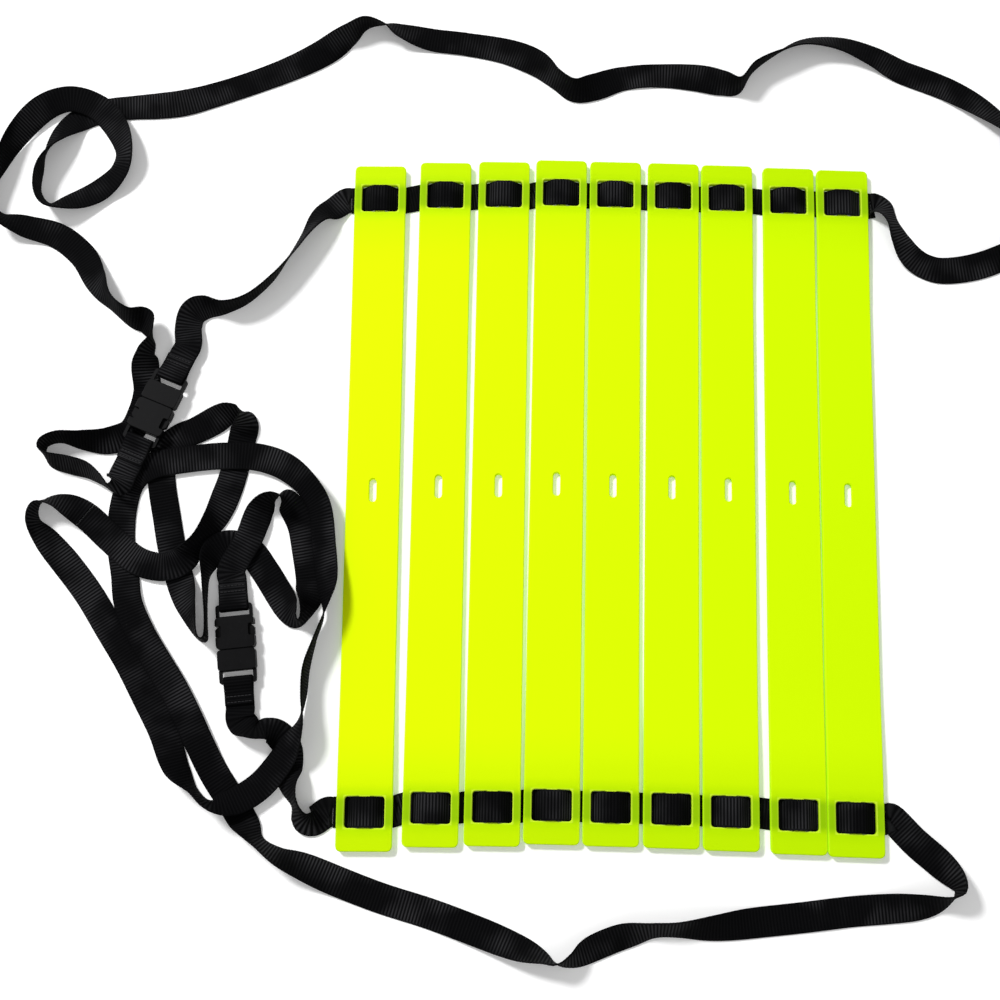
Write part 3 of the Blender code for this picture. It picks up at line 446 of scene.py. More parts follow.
@dataclass(frozen=True)
class NeonPlastic:
    """Glowing yellow-green moulded plastic, greener where a strap lies close beneath it.

    The colour follows the distance to the nearest window: a pale band just outside the edge,
    which is a painted highlight, a greener frame round it, and a deeper green over the strap. A
    pale line along the long edges is a painted highlight as well, and the deeper green on the
    long walls is painted shade. The body is lighter and yellower on the left of the bundle and
    darker on the right: painted light falloff. The long walls also glow a little, which is
    painted light standing in for the green light that the rungs throw into the gaps between
    them. Fine grain and long scratches move the roughness and the surface. A share is how far a
    tint goes, and a span is where it rises from none to all.
    """

    # left and right: the body colour at each side of the bundle; the shift from a lighter,
    # yellower left to a darker right is painted light falloff
    left: tuple = tone(230, 252, 0)
    right: tuple = tone(208, 250, 0)
    frame: tuple = tone(176, 226, 0)
    # deep: a deeper green over the strap, and also painted shade on the long walls
    deep: tuple = tone(118, 172, 6)
    # painted highlight: a pale colour painted at each window's edge and along the long edges
    rim: tuple = tone(226, 250, 70)
    unlit: tuple = (0.0, 0.0, 0.0)
    # the long walls' glow is painted light, standing in for green light thrown into the gaps
    # between rungs
    wall_glow: tuple = tone(176, 222, 0)
    wall_strength: float = 0.55
    window_half_width: float = 13.6 * MM
    window_half_height: float = 10.5 * MM
    window_at: float = 224 * MM
    strap_half_width: float = 10.0 * MM
    rung_half_width: float = 19.0 * MM
    bundle_half: float = 0.19
    tip_span: tuple = (168.0 * MM, 244.0 * MM)
    halo_span: tuple = (0.0, 9.0 * MM)
    under_span: tuple = (-1.2 * MM, 0.6 * MM)
    strap_edge_span: tuple = (-3.6 * MM, 3.6 * MM)
    rim_span: tuple = (0.5 * MM, 1.1 * MM)
    top_span: tuple = (3.4 * MM, 4.2 * MM)
    # edge span and edge share: where and how far the painted highlight along the long edges goes
    edge_span: tuple = (-1.2 * MM, -0.6 * MM)
    wall_span: tuple = (-0.4 * MM, -0.1 * MM)
    broad_share: float = 0.08
    tip_share: float = 0.62
    halo_share: float = 0.56
    under_share: float = 0.66
    rim_share: float = 0.42
    edge_share: float = 0.14
    # how far the painted shade on the long walls goes
    wall_share: float = 0.75
    broad_scale: float = 9.0
    grain_scale: float = 1900.0
    swell_scale: float = 60.0
    streak_scale: tuple = (2600.0, 45.0, 900.0)
    streak_detail: float = 3.0
    scratch_span: tuple = (0.62, 0.80)
    grain_height: float = 0.35
    scratch_height: float = 0.5
    swell_height: float = 0.6
    relief: float = 0.05 * MM
    relief_strength: float = 0.55
    roughness: float = 0.46
    broad_roughness: float = 0.10
    scratch_shine: float = 0.08
    grain_roughness: float = 0.04
    gloss: float = 0.03

    def build(self, name: str, place: RungPlace) -> bpy.types.Material:
        """Make the material of one rung.

        Args:
            name: The material's name.
            place: Where the rung lies.

        Returns:
            The material.
        """
        graph = Graph(name)
        point = graph.place()
        x, y, z = graph.split(point)
        angle = math.radians(place.turn)
        away_x, away_y = x - place.x, y - place.y
        across = away_x * math.cos(angle) + away_y * math.sin(angle)
        along = away_y * math.cos(angle) - away_x * math.sin(angle)
        beside = abs(across)
        beyond = abs(abs(along) - self.window_at)
        gap = (beside - self.window_half_width).larger(beyond - self.window_half_height)
        under = (beside - self.window_half_width).ramp(*self.under_span)
        under = under * (1.0 - (beyond - self.strap_half_width).ramp(*self.strap_edge_span))
        halo = 1.0 - gap.ramp(*self.halo_span)
        tip = abs(along).ramp(*self.tip_span)
        # painted highlight: a pale band at each window's edge, on the top face only
        rim = (1.0 - gap.ramp(*self.rim_span)) * z.ramp(*self.top_span)
        # painted highlight: a pale line along the long edges
        edge = (beside - self.rung_half_width).ramp(*self.edge_span)
        # the long walls: painted shade in deep green, and a glow that is painted light
        wall = (beside - self.rung_half_width).ramp(*self.wall_span)

        # painted light falloff: the body goes from the lighter, yellower left colour to the darker
        # right one across the bundle
        share = min(max((place.x + self.bundle_half) / (2 * self.bundle_half), 0.0), 1.0)
        broad = graph.noise(point, self.broad_scale)
        body = graph.blend(share, self.left, self.right)
        for tint, part in (
            (self.frame, broad * self.broad_share),
            (self.frame, tip * self.tip_share),
            (self.frame, halo * self.halo_share),
            (self.deep, under * self.under_share),
            (self.rim, rim * self.rim_share),
            (self.rim, edge * self.edge_share),
            (self.deep, wall * self.wall_share),
        ):
            body = graph.blend(part, body, tint)

        parts = [part * scale for part, scale in zip((across, along, z), self.streak_scale)]
        streaks = graph.noise(graph.join(*parts), 1.0, self.streak_detail)
        grain = graph.noise(point, self.grain_scale)
        swell = graph.noise(point, self.swell_scale)
        scratch = streaks.ramp(*self.scratch_span)
        height = grain * self.grain_height + scratch * self.scratch_height
        height = height + swell * self.swell_height
        roughness = self.roughness + broad * self.broad_roughness
        return graph.finish(
            {
                "Base Color": body,
                "Roughness": roughness
                - scratch * self.scratch_shine
                + grain * self.grain_roughness,
                "Specular IOR Level": self.gloss,
                "Emission Color": graph.blend(wall, self.unlit, self.wall_glow),
                "Emission Strength": self.wall_strength,
                "Normal": graph.bump(height, self.relief, self.relief_strength),
            }
        )


@dataclass(frozen=True)
class BlackWebbing(Finish):
    """Black ribbed webbing, read from the strap's own distances along and across.

    The ribs run across the strap and rise and fall as a cosine along it. Yarns cross each rib,
    shifted by half a step from one rib to the next, and both edges have a finer bound weave. The
    crests are painted lighter than the furrows, most of all in scattered spots: these are painted
    highlights.
    """

    dark: tuple = tone(4, 4, 5)
    # light: the colour of the painted highlights on the ribs' crests
    light: tuple = tone(88, 88, 91)
    dust: tuple = tone(98, 97, 94)
    rib: float = RIB
    yarn: float = 0.95 * MM
    bound: float = 0.8 * MM
    edge_span: tuple = (8.7 * MM, 9.4 * MM)
    crest: float = 1.4
    rib_share: float = 0.72
    bound_share: float = 0.45
    waver_scale: float = 160.0
    waver_turn: float = 0.5
    fuzz_scale: float = 2600.0
    fuzz_detail: float = 3.0
    fuzz_share: float = 0.01
    fuzz_height: float = 0.12
    # size and reach of the spots where the painted highlights on the crests are strongest
    patch_scale: float = 26.0
    patch_span: tuple = (0.42, 0.70)
    weave_share: float = 0.02
    patch_share: float = 0.34
    lint_scale: float = 700.0
    lint_detail: float = 4.0
    lint_span: tuple = (0.70, 0.82)
    lint_share: float = 0.30
    relief: float = 0.20 * MM
    relief_strength: float = 0.8
    roughness: float = 0.74
    furrow_roughness: float = 0.14
    gloss: float = 0.035

    def values(self, graph: Graph) -> dict[str, Wire | float | tuple]:
        """Add the patterns.

        Args:
            graph: The material's graph.

        Returns:
            The shader's inputs.
        """
        point = graph.place()
        along, across = graph.cloth()
        full = 2 * math.pi
        waver = (graph.noise(point, self.waver_scale) - 0.5) * self.waver_turn
        turns = along / self.rib
        rib = ((turns * full + waver).cosine() * 0.5 + 0.5) ** self.crest
        step = turns.floor() * math.pi
        yarn = (across * (full / self.yarn) + step).cosine() * 0.5 + 0.5
        bound = (along * (full / self.bound)).cosine() * 0.5 + 0.5
        edge = abs(across).ramp(*self.edge_span)
        woven = rib * (self.rib_share + yarn * (1.0 - self.rib_share))
        weave = woven * (1.0 - edge) + bound * edge * self.bound_share
        fuzz = graph.noise(point, self.fuzz_scale, self.fuzz_detail)
        highlight_patches = graph.noise(point, self.patch_scale).ramp(*self.patch_span)
        # painted highlights: the crests are lighter than the furrows, most of all in scattered
        # spots
        shine = weave * (self.weave_share + highlight_patches * self.patch_share)
        colour = graph.blend(shine + fuzz * self.fuzz_share, self.dark, self.light)
        lint = graph.noise(point, self.lint_scale, self.lint_detail).ramp(*self.lint_span)
        colour = graph.blend(lint * weave * self.lint_share, colour, self.dust)
        height = weave + fuzz * self.fuzz_height
        return {
            "Base Color": colour,
            "Roughness": self.roughness + (1.0 - weave) * self.furrow_roughness,
            "Specular IOR Level": self.gloss,
            "Normal": graph.bump(height, self.relief, self.relief_strength),
        }


@dataclass(frozen=True)
class BucklePlastic(Finish):
    """Black moulded plastic with a fine grain, a cloudy tone and scattered rubbed spots."""

    dark: tuple = tone(7, 7, 8)
    worn: tuple = tone(30, 30, 32)
    cloud_scale: float = 70.0
    cloud_detail: float = 3.0
    cloud_share: float = 0.25
    cloud_roughness: float = 0.12
    grain_scale: float = 2400.0
    rub_scale: float = 420.0
    rub_detail: float = 4.0
    rub_span: tuple = (0.58, 0.78)
    rub_share: float = 0.30
    rub_roughness: float = 0.10
    rub_height: float = 0.4
    relief: float = 0.06 * MM
    relief_strength: float = 0.5
    roughness: float = 0.38
    gloss: float = 0.06

    def values(self, graph: Graph) -> dict[str, Wire | float | tuple]:
        """Add the patterns.

        Args:
            graph: The material's graph.

        Returns:
            The shader's inputs.
        """
        point = graph.place()
        clouds = graph.noise(point, self.cloud_scale, self.cloud_detail)
        grain = graph.noise(point, self.grain_scale)
        rubbed = graph.noise(point, self.rub_scale, self.rub_detail).ramp(*self.rub_span)
        share = clouds * self.cloud_share + rubbed * self.rub_share
        height = grain + rubbed * self.rub_height
        roughness = self.roughness + clouds * self.cloud_roughness
        return {
            "Base Color": graph.blend(share, self.dark, self.worn),
            "Roughness": roughness + rubbed * self.rub_roughness,
            "Specular IOR Level": self.gloss,
            "Normal": graph.bump(height, self.relief, self.relief_strength),
        }


@dataclass(frozen=True)
class Thread(Finish):
    """Black sewing thread: two strands twisted round each other, seen as slanting bands."""

    dark: tuple = tone(20, 20, 22)
    light: tuple = tone(38, 38, 41)
    twist: float = 0.55 * MM
    slant: float = 6.0
    band_share: float = 0.7
    fuzz_scale: float = 3000.0
    fuzz_share: float = 0.2
    relief: float = 0.12 * MM
    relief_strength: float = 0.7
    roughness: float = 0.62
    furrow_roughness: float = 0.2

    def values(self, graph: Graph) -> dict[str, Wire | float | tuple]:
        """Add the patterns.

        Args:
            graph: The material's graph.

        Returns:
            The shader's inputs.
        """
        along, across = graph.cloth()
        turns = along * (2 * math.pi / self.twist) + across * self.slant
        band = turns.cosine() * 0.5 + 0.5
        fuzz = graph.noise(graph.place(), self.fuzz_scale)
        share = band * self.band_share + fuzz * self.fuzz_share
        return {
            "Base Color": graph.blend(share, self.dark, self.light),
            "Roughness": self.roughness + (1.0 - band) * self.furrow_roughness,
            "Normal": graph.bump(band, self.relief, self.relief_strength),
        }


@dataclass(frozen=True)
class PaleFloor(Finish):
    """A pale floor that keeps the ladder's shadow, and glows more far from it.

    The glow rises with the distance from the middle, so that the floor meets the white sky.
    """

    colour: tuple = (0.97, 0.97, 0.97)
    near_glow: tuple = (0.18, 0.18, 0.18)
    far_glow: tuple = (1.0, 1.0, 1.0)
    far_span: tuple = (0.9, 2.6)
    roughness: float = 0.95
    glow: float = 0.78

    def values(self, graph: Graph) -> dict[str, Wire | float | tuple]:
        """Add the patterns.

        Args:
            graph: The material's graph.

        Returns:
            The shader's inputs.
        """
        x, y, _ = graph.split(graph.place())
        far = ((x * x + y * y) ** 0.5).ramp(*self.far_span)
        return {
            "Base Color": self.colour,
            "Roughness": self.roughness,
            "Specular IOR Level": 0.0,
            "Emission Color": graph.blend(far, self.near_glow, self.far_glow),
            "Emission Strength": self.glow,
        }


@dataclass(frozen=True)
class Lamp:
    """One soft area lamp."""

    name: str
    place: tuple
    target: tuple
    size: float
    power: float

    def build(self) -> None:
        """Hang the lamp and turn it to its target."""
        data = bpy.data.lights.new(self.name, "AREA")
        data.shape = "DISK"
        data.size = self.size
        data.energy = self.power
        lamp = bpy.data.objects.new(self.name, data)
        aim = Vector(self.target) - Vector(self.place)
        lamp.location = self.place
        lamp.rotation_mode = "QUATERNION"
        lamp.rotation_quaternion = aim.to_track_quat("-Z", "Y")
        bpy.context.scene.collection.objects.link(lamp)


@dataclass(frozen=True)
class Studio:
    """Camera, floor and light.

    The camera stands as the photograph's did. Its angles are in radians, and its focal length is
    a share of the sensor's width.
    """

    camera_place: tuple = (-0.0682, -0.2479, 1.0040)
    pitch: float = 0.23479
    yaw: float = 0.00358
    roll: float = 0.02343
    focal_share: float = 1.4485
    sensor: float = 36.0
    clip_start: float = 0.01
    floor_half: float = 12.0
    floor_drop: float = 0.05 * MM
    sky: float = 0.40
    lamps: tuple = (
        Lamp("key", place=(-2.35, 1.90, 3.10), target=(0.0, 0.0, 0.0), size=0.85, power=163.0),
        Lamp("fill", place=(0.5, -1.4, 2.2), target=(0.0, 0.0, 0.0), size=1.6, power=6.0),
    )

    def build(self) -> None:
        """Make the camera, the lamps, the sky and the floor."""
        data = bpy.data.cameras.new("camera")
        data.sensor_width = self.sensor
        data.lens = self.sensor * self.focal_share
        data.clip_start = self.clip_start
        camera = bpy.data.objects.new("camera", data)
        turned = turn(self.roll, "Z") @ turn(self.yaw, "Y") @ turn(self.pitch, "X")
        camera.matrix_world = Matrix.Translation(self.camera_place) @ turned
        scene = bpy.context.scene
        scene.collection.objects.link(camera)
        scene.camera = camera
        scene.view_settings.view_transform = "Standard"
        for lamp in self.lamps:
            lamp.build()
        self.build_sky()
        self.build_floor()

    def build_sky(self) -> None:
        """Light the scene evenly from all sides, under a sky that looks white itself.

        The sky's strength is 1 for what the camera sees of it, and a smaller value as a light.
        """
        world = bpy.data.worlds.new("sky")
        world.use_nodes = True
        tree = world.node_tree
        background = tree.nodes["Background"]
        background.inputs["Color"].default_value = (1, 1, 1, 1)
        path = tree.nodes.new("ShaderNodeLightPath")
        strength = tree.nodes.new("ShaderNodeMath")
        strength.operation = "MULTIPLY_ADD"
        strength.inputs[1].default_value = 1.0 - self.sky
        strength.inputs[2].default_value = self.sky
        tree.links.new(path.outputs["Is Camera Ray"], strength.inputs[0])
        tree.links.new(strength.outputs[0], background.inputs["Strength"])
        bpy.context.scene.world = world

    def build_floor(self) -> None:
        """Lay the floor just under the ladder."""
        half, low = self.floor_half, -self.floor_drop
        corners = [(-half, -half, low), (half, -half, low), (half, half, low), (-half, half, low)]
        mesh = bpy.data.meshes.new("floor")
        mesh.from_pydata(corners, [], [(0, 1, 2, 3)])
        floor = bpy.data.objects.new("floor", mesh)
        floor.data.materials.append(PaleFloor().build("floor_paint"))
        bpy.context.scene.collection.objects.link(floor)
        floor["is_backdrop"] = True


def closed_tube(
    name: str, rings: np.ndarray, along: np.ndarray, across: np.ndarray
) -> bpy.types.Object:
    """Make one closed body from a grid of points: rings carried along a path, both ends capped.

    Args:
        name: The piece's name.
        rings: Points of shape (sections, points round a section, 3).
        along: Distance along the path of every point, for the strap map.
        across: Distance across the path of every point, for the strap map.

    Returns:
        The object, smooth shaded.
    """
    sections, count, _ = rings.shape
    ring = np.arange(count)
    start = np.arange(sections - 1)[:, None] * count
    after = np.roll(ring, -1)
    quads = np.stack(
        [start + ring, start + after, start + count + after, start + count + ring], axis=-1
    ).reshape(-1, QUAD)
    last = (sections - 1) * count
    corners = np.concatenate([quads.reshape(-1), ring[::-1], ring + last]).astype(np.int32)
    sizes = np.concatenate([np.full(len(quads), QUAD), [count, count]]).astype(np.int32)
    starts = np.concatenate([[0], np.cumsum(sizes)[:-1]]).astype(np.int32)
    mesh = bpy.data.meshes.new(name)
    mesh.vertices.add(sections * count)
    mesh.vertices.foreach_set("co", rings.reshape(-1).astype(np.float32))
    mesh.loops.add(len(corners))
    mesh.loops.foreach_set("vertex_index", corners)
    mesh.polygons.add(len(sizes))
    mesh.polygons.foreach_set("loop_start", starts)
    smooth = np.concatenate([np.ones(len(quads), bool), [False, False]])
    mesh.polygons.foreach_set("use_smooth", smooth)
    mesh.update(calc_edges=True)
    cloth = mesh.uv_layers.new(name=STRAP_MAP)
    pairs = np.stack([along.reshape(-1)[corners], across.reshape(-1)[corners]], axis=-1)
    cloth.data.foreach_set("uv", pairs.reshape(-1).astype(np.float32))
    mesh.validate()
    made = bpy.data.objects.new(name, mesh)
    bpy.context.scene.collection.objects.link(made)
    return made


def merged(name: str, pieces: list[bpy.types.Object]) -> bpy.types.Object:
    """Join several objects' meshes into one object.

    Args:
        name: The joined piece's name.
        pieces: The objects to join. They are removed.

    Returns:
        The joined object.
    """
    with bpy.context.temp_override(
        active_object=pieces[0], selected_editable_objects=pieces, object=pieces[0]
    ):
        bpy.ops.object.join()
    pieces[0].name = name
    pieces[0].data.name = name
    return pieces[0]


class Section(Enum):
    """Named cross-sections: half width, half thickness, and the share cut between ribs."""

    STRAP = (10.0 * MM, 0.65 * MM, 0.26)
    SNUG = (10.4 * MM, 0.65 * MM, 0.26)
    THREAD = (0.26 * MM, 0.20 * MM, 0.0)


@dataclass(frozen=True)
class Line:
    """A path with a width direction at every point."""

    BELL_REACHES: ClassVar[int] = 3

    centres: np.ndarray
    widths: np.ndarray

    def arcs(self) -> np.ndarray:
        """Return the distance along the path of every point."""
        steps = np.linalg.norm(np.diff(self.centres, axis=0), axis=1)
        return np.concatenate([[0.0], np.cumsum(steps)])

    def at(self, arcs: np.ndarray) -> Line:
        """Sample the path, with straight lines between its points.

        Args:
            arcs: Distances along the path.

        Returns:
            The path through the points at those distances.
        """
        own = self.arcs()
        centres = np.column_stack([np.interp(arcs, own, self.centres[:, k]) for k in range(3)])
        widths = np.column_stack([np.interp(arcs, own, self.widths[:, k]) for k in range(3)])
        return Line(centres, widths / np.linalg.norm(widths, axis=1)[:, None])

    def softened(self, reach: float, step: float) -> Line:
        """Round a path's corners: an even resampling, then a moving bell-shaped average.

        Args:
            reach: The bell's standard deviation along the path.
            step: The distance between the even points.

        Returns:
            The rounded path, whose ends stay in place.
        """
        arcs = self.arcs()
        count = max(2, round(arcs[-1] / step))
        even = self.at(np.linspace(0.0, arcs[-1], count + 1))
        half = max(1, round(self.BELL_REACHES * reach / step))
        bell = np.exp(-0.5 * (np.arange(-half, half + 1) * step / reach) ** 2)
        bell /= bell.sum()
        first, last = even.centres[:1], even.centres[-1:]
        before = 2 * first - even.centres[half:0:-1]
        beyond = 2 * last - even.centres[-2 : -half - 2 : -1]
        held = np.vstack([before, even.centres, beyond])
        centres = np.column_stack([np.convolve(held[:, k], bell, "valid") for k in range(3)])
        return Line(centres, even.widths)

    def band(
        self,
        name: str,
        section: Section,
        from_arc: float = 0.0,
        floor: bool = True,
        keep: slice = slice(None),
    ) -> bpy.types.Object:
        """Carry a flat section with round edges along the path.

        Each section point sits at a share of the half width along the width direction, and at
        a share of the half thickness along the normal, which is the cross product of the
        path's direction and the width direction. The thickness rises and falls along the path
        as a cosine, once a rib.

        Args:
            name: The piece's name.
            section: The cross-section.
            from_arc: Distance along the whole strap where this path starts.
            floor: Whether to keep the band at or above height 0.
            keep: The run of the path's points that this band covers.

        Returns:
            The band's object.
        """
        half_width, half_depth, cut = section.value
        heading = np.gradient(self.centres, axis=0)
        heading /= np.linalg.norm(heading, axis=1)[:, None]
        widths = self.widths.copy()
        for end in (0, -1):
            heading[end] -= widths[end] * float(widths[end] @ heading[end])
        heading /= np.linalg.norm(heading, axis=1)[:, None]
        widths -= heading * (widths * heading).sum(1)[:, None]
        widths /= np.linalg.norm(widths, axis=1)[:, None]
        normals = np.cross(heading, widths)
        wide, deep = outline(half_width, half_depth)
        distance = self.arcs() + from_arc
        ribs = 1.0 - cut * (1.0 - np.cos(2 * math.pi * distance / RIB)) / 2
        rings = (
            self.centres[:, None]
            + widths[:, None] * wide[None, :, None]
            + normals[:, None] * (ribs[:, None] * deep)[:, :, None]
        )
        if floor:
            rings[:, :, 2] = np.maximum(rings[:, :, 2], 0.0)
        along = np.broadcast_to(distance[:, None], rings.shape[:2])
        across = np.broadcast_to(wide[None], rings.shape[:2])
        return closed_tube(name, rings[keep], along[keep], across[keep])


def sections(start: float, end: float) -> np.ndarray:
    """Choose where a strap has its sections: both ends, and each quarter of a rib between them.

    Args:
        start: Distance along the strap of the first section.
        end: Distance along it of the last one.

    Returns:
        The distances, with none closer than SHORTEST_SECTION of a quarter to an end.
    """
    quarter = RIB / RIB_SECTIONS
    first = math.ceil(start / quarter + SHORTEST_SECTION)
    last = math.floor(end / quarter - SHORTEST_SECTION)
    return np.concatenate([[start], np.arange(first, last + 1) * quarter, [end]])


def outline(
    half_width: float, half_depth: float, round_points: int = 5, flat_points: int = 4
) -> tuple[np.ndarray, np.ndarray]:
    """Outline a flat section: two flats joined by two half circles.

    Args:
        half_width: Half the section's width.
        half_depth: Half its thickness, which is the edges' radius.
        round_points: Points on each half circle.
        flat_points: Points on each flat, between the half circles.

    Returns:
        The distances across and the distances up, point by point round the section.
    """
    flat = half_width - half_depth
    turns = np.linspace(-math.pi / 2, math.pi / 2, round_points)
    out, up = half_depth * np.cos(turns), half_depth * np.sin(turns)
    across_flat = np.linspace(flat, -flat, flat_points + 2)[1:-1]
    level = np.full(flat_points, half_depth)
    wide = np.concatenate([flat + out, across_flat, -flat - out, -across_flat])
    deep = np.concatenate([up, level, -up, -level])
    return wide, deep


PLACES = [
    RungPlace(-0.16802, -0.003665, 1.07),
    RungPlace(-0.1214, 0.0002, 0.56),
    RungPlace(-0.0787, 0.0018, 0.30),
    RungPlace(-0.0373, 0.0039, -0.04),
    RungPlace(0.0029, 0.0035, -0.11),
    RungPlace(0.0449, 0.0032, -0.40),
    RungPlace(0.0850, 0.0024, -0.37),
    RungPlace(0.1306, 0.0012, -0.42),
    RungPlace(0.1699, 0.0002, -0.61),
]


class Side(Enum):
    """Which strap, as its end of the rungs."""

    FAR = 1
    NEAR = -1

    @property
    def word(self) -> str:
        """Return the name used in node names."""
        return self.name.lower()


@dataclass(frozen=True)
class Rungs:
    """The nine flat rungs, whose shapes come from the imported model."""

    finish: NeonPlastic = NeonPlastic()

    def build(self, nodes: dict) -> list[bpy.types.Object]:
        """Return the rungs' own nodes, in order."""
        return [nodes[f"rung_{number}"] for number in range(1, len(PLACES) + 1)]

    def dress(self, rungs: list[bpy.types.Object]) -> None:
        """Give every rung its plastic.

        Args:
            rungs: The rungs, in order.
        """
        for rung, place in zip(rungs, PLACES):
            rung.data.materials.clear()
            rung.data.materials.append(self.finish.build(f"{rung.name}_neon", place))


@dataclass(frozen=True)
class WovenStraps:
    """The straps where they pass under each rung's frame and over its centre bar."""

    rung_half: float = 19.0 * MM
    overhang: float = 2.5 * MM
    window_at: float = 224.0 * MM
    flat: float = 0.65 * MM
    rise: tuple = (
        (4.2 * MM, 6.52 * MM),
        (6.6 * MM, 5.20 * MM),
        (10.9 * MM, 1.40 * MM),
        (12.3 * MM, 0.65 * MM),
        (17.5 * MM, 0.65 * MM),
    )
    held_within: float = 6.6 * MM
    step: float = 0.25 * MM
    soft: float = 0.55 * MM
    finish: BlackWebbing = BlackWebbing()

    def route(self, side: Side) -> tuple[Line, list[float]]:
        """Follow one strap through all the rungs.

        Args:
            side: Which strap.

        Returns:
            The strap's line with its corners rounded, and the distances along it of every
            place where it is cut: its ends, each rung's middle and each space between rungs.
        """
        right = list(self.rise)
        points = [(-x, z) for x, z in reversed(right)] + right
        centres, widths, stops = [], [], []
        for number, place in enumerate(PLACES):
            run = list(points)
            if number == 0:
                run.insert(0, (-self.rung_half - self.overhang, self.flat))
            if number == len(PLACES) - 1:
                run.append((self.rung_half + self.overhang, self.flat))
            matrix = place.matrix()
            if number:
                stops.append((len(centres) - 1, 0.5))
            for x, z in run:
                if x > 0 and len(stops) < 2 * number + 1:
                    stops.append((len(centres) - 1, 0.5))
                centres.append(matrix @ Vector((x, side.value * self.window_at, z)))
                widths.append(matrix.to_3x3() @ Vector((0, 1, 0)))
        line = Line(np.array(centres, dtype=float), np.array(widths, dtype=float))
        arcs = line.arcs()
        cuts = [0.0] + [float(arcs[n] + (arcs[n + 1] - arcs[n]) * t) for n, t in stops]
        total = float(arcs[-1])
        soft = line.softened(self.soft, self.step)
        scale = soft.arcs()[-1] / total
        return soft, [cut * scale for cut in cuts] + [total * scale]

    def build(self) -> list[bpy.types.Object]:
        """Make two pieces of strap for every rung and side.

        Each piece runs from the middle of a space to the middle of a rung, and stays where it is
        made. The two outermost pieces follow their rung all along.

        Returns:
            The pieces, side by side in order along each strap.
        """
        made = []
        for side in Side:
            line, cuts = self.route(side)
            for n in range(len(cuts) - 1):
                number = n // 2 + 1
                on_left = n % 2 == 0
                arcs = sections(cuts[n], cuts[n + 1])
                word = "left" if on_left else "right"
                name = f"{side.word}_weave_{number}_{word}"
                piece = line.at(arcs).band(name, Section.SNUG, cuts[n])
                made.append(piece)
                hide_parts(f"{side.word}_strap_woven")
                if n in (0, len(cuts) - 2):
                    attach(piece, f"rung_{number}")
                    continue
                outer = line.at(np.array([cuts[n] if on_left else cuts[n + 1]])).centres[0]
                inward = -self.held_within if on_left else self.held_within
                across = side.value * self.window_at
                held = PLACES[number - 1].matrix() @ Vector((inward, across, 0))
                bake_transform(piece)
        return made

    def dress(self, pieces: list[bpy.types.Object]) -> None:
        """Give the pieces their webbing.

        Args:
            pieces: The pieces of both straps.
        """
        material = self.finish.build("woven_webbing")
        for piece in pieces:
            piece.data.materials.append(material)
            f"{piece.name.split('_')[0]}_strap_woven_webbing"


@dataclass(frozen=True)
class Buckle:
    """One side release buckle's place: U runs along it from socket to plug, 0 at the mouth."""

    letter: str
    socket_bar: tuple
    plug_bar: tuple
    height: float
    socket_bar_at: float = -30.0 * MM
    plug_bar_at: float = 22.3 * MM

    def matrix(self) -> Matrix:
        """Work out the buckle's own frame.

        Returns:
            The frame: X along the buckle, Y across it, Z up.
        """
        start = Vector((*self.socket_bar, self.height))
        along = (Vector((*self.plug_bar, self.height)) - start).normalized()
        axes = Matrix((along, UP.cross(along), UP)).transposed().to_4x4()
        return Matrix.Translation(start - along * self.socket_bar_at) @ axes


BUCKLES = {
    "a": Buckle("a", (-0.3363, 0.0281), (-0.3170, 0.0766), 6.6 * MM),
    "b": Buckle("b", (-0.2611, -0.0895), (-0.2545, -0.1415), 5.0 * MM),
}


class Half(Enum):
    """One half of a buckle. The value is the way its strap leaves, along the buckle."""

    PLUG = 1
    SOCKET = -1

    def bar(self, buckle: Buckle) -> float:
        """Return the bar's place along the buckle."""
        return buckle.plug_bar_at if self is Half.PLUG else buckle.socket_bar_at

    def body(self, buckle: Buckle) -> str:
        """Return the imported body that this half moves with."""
        return f"plug_{buckle.letter}" if self is Half.PLUG else ROOT


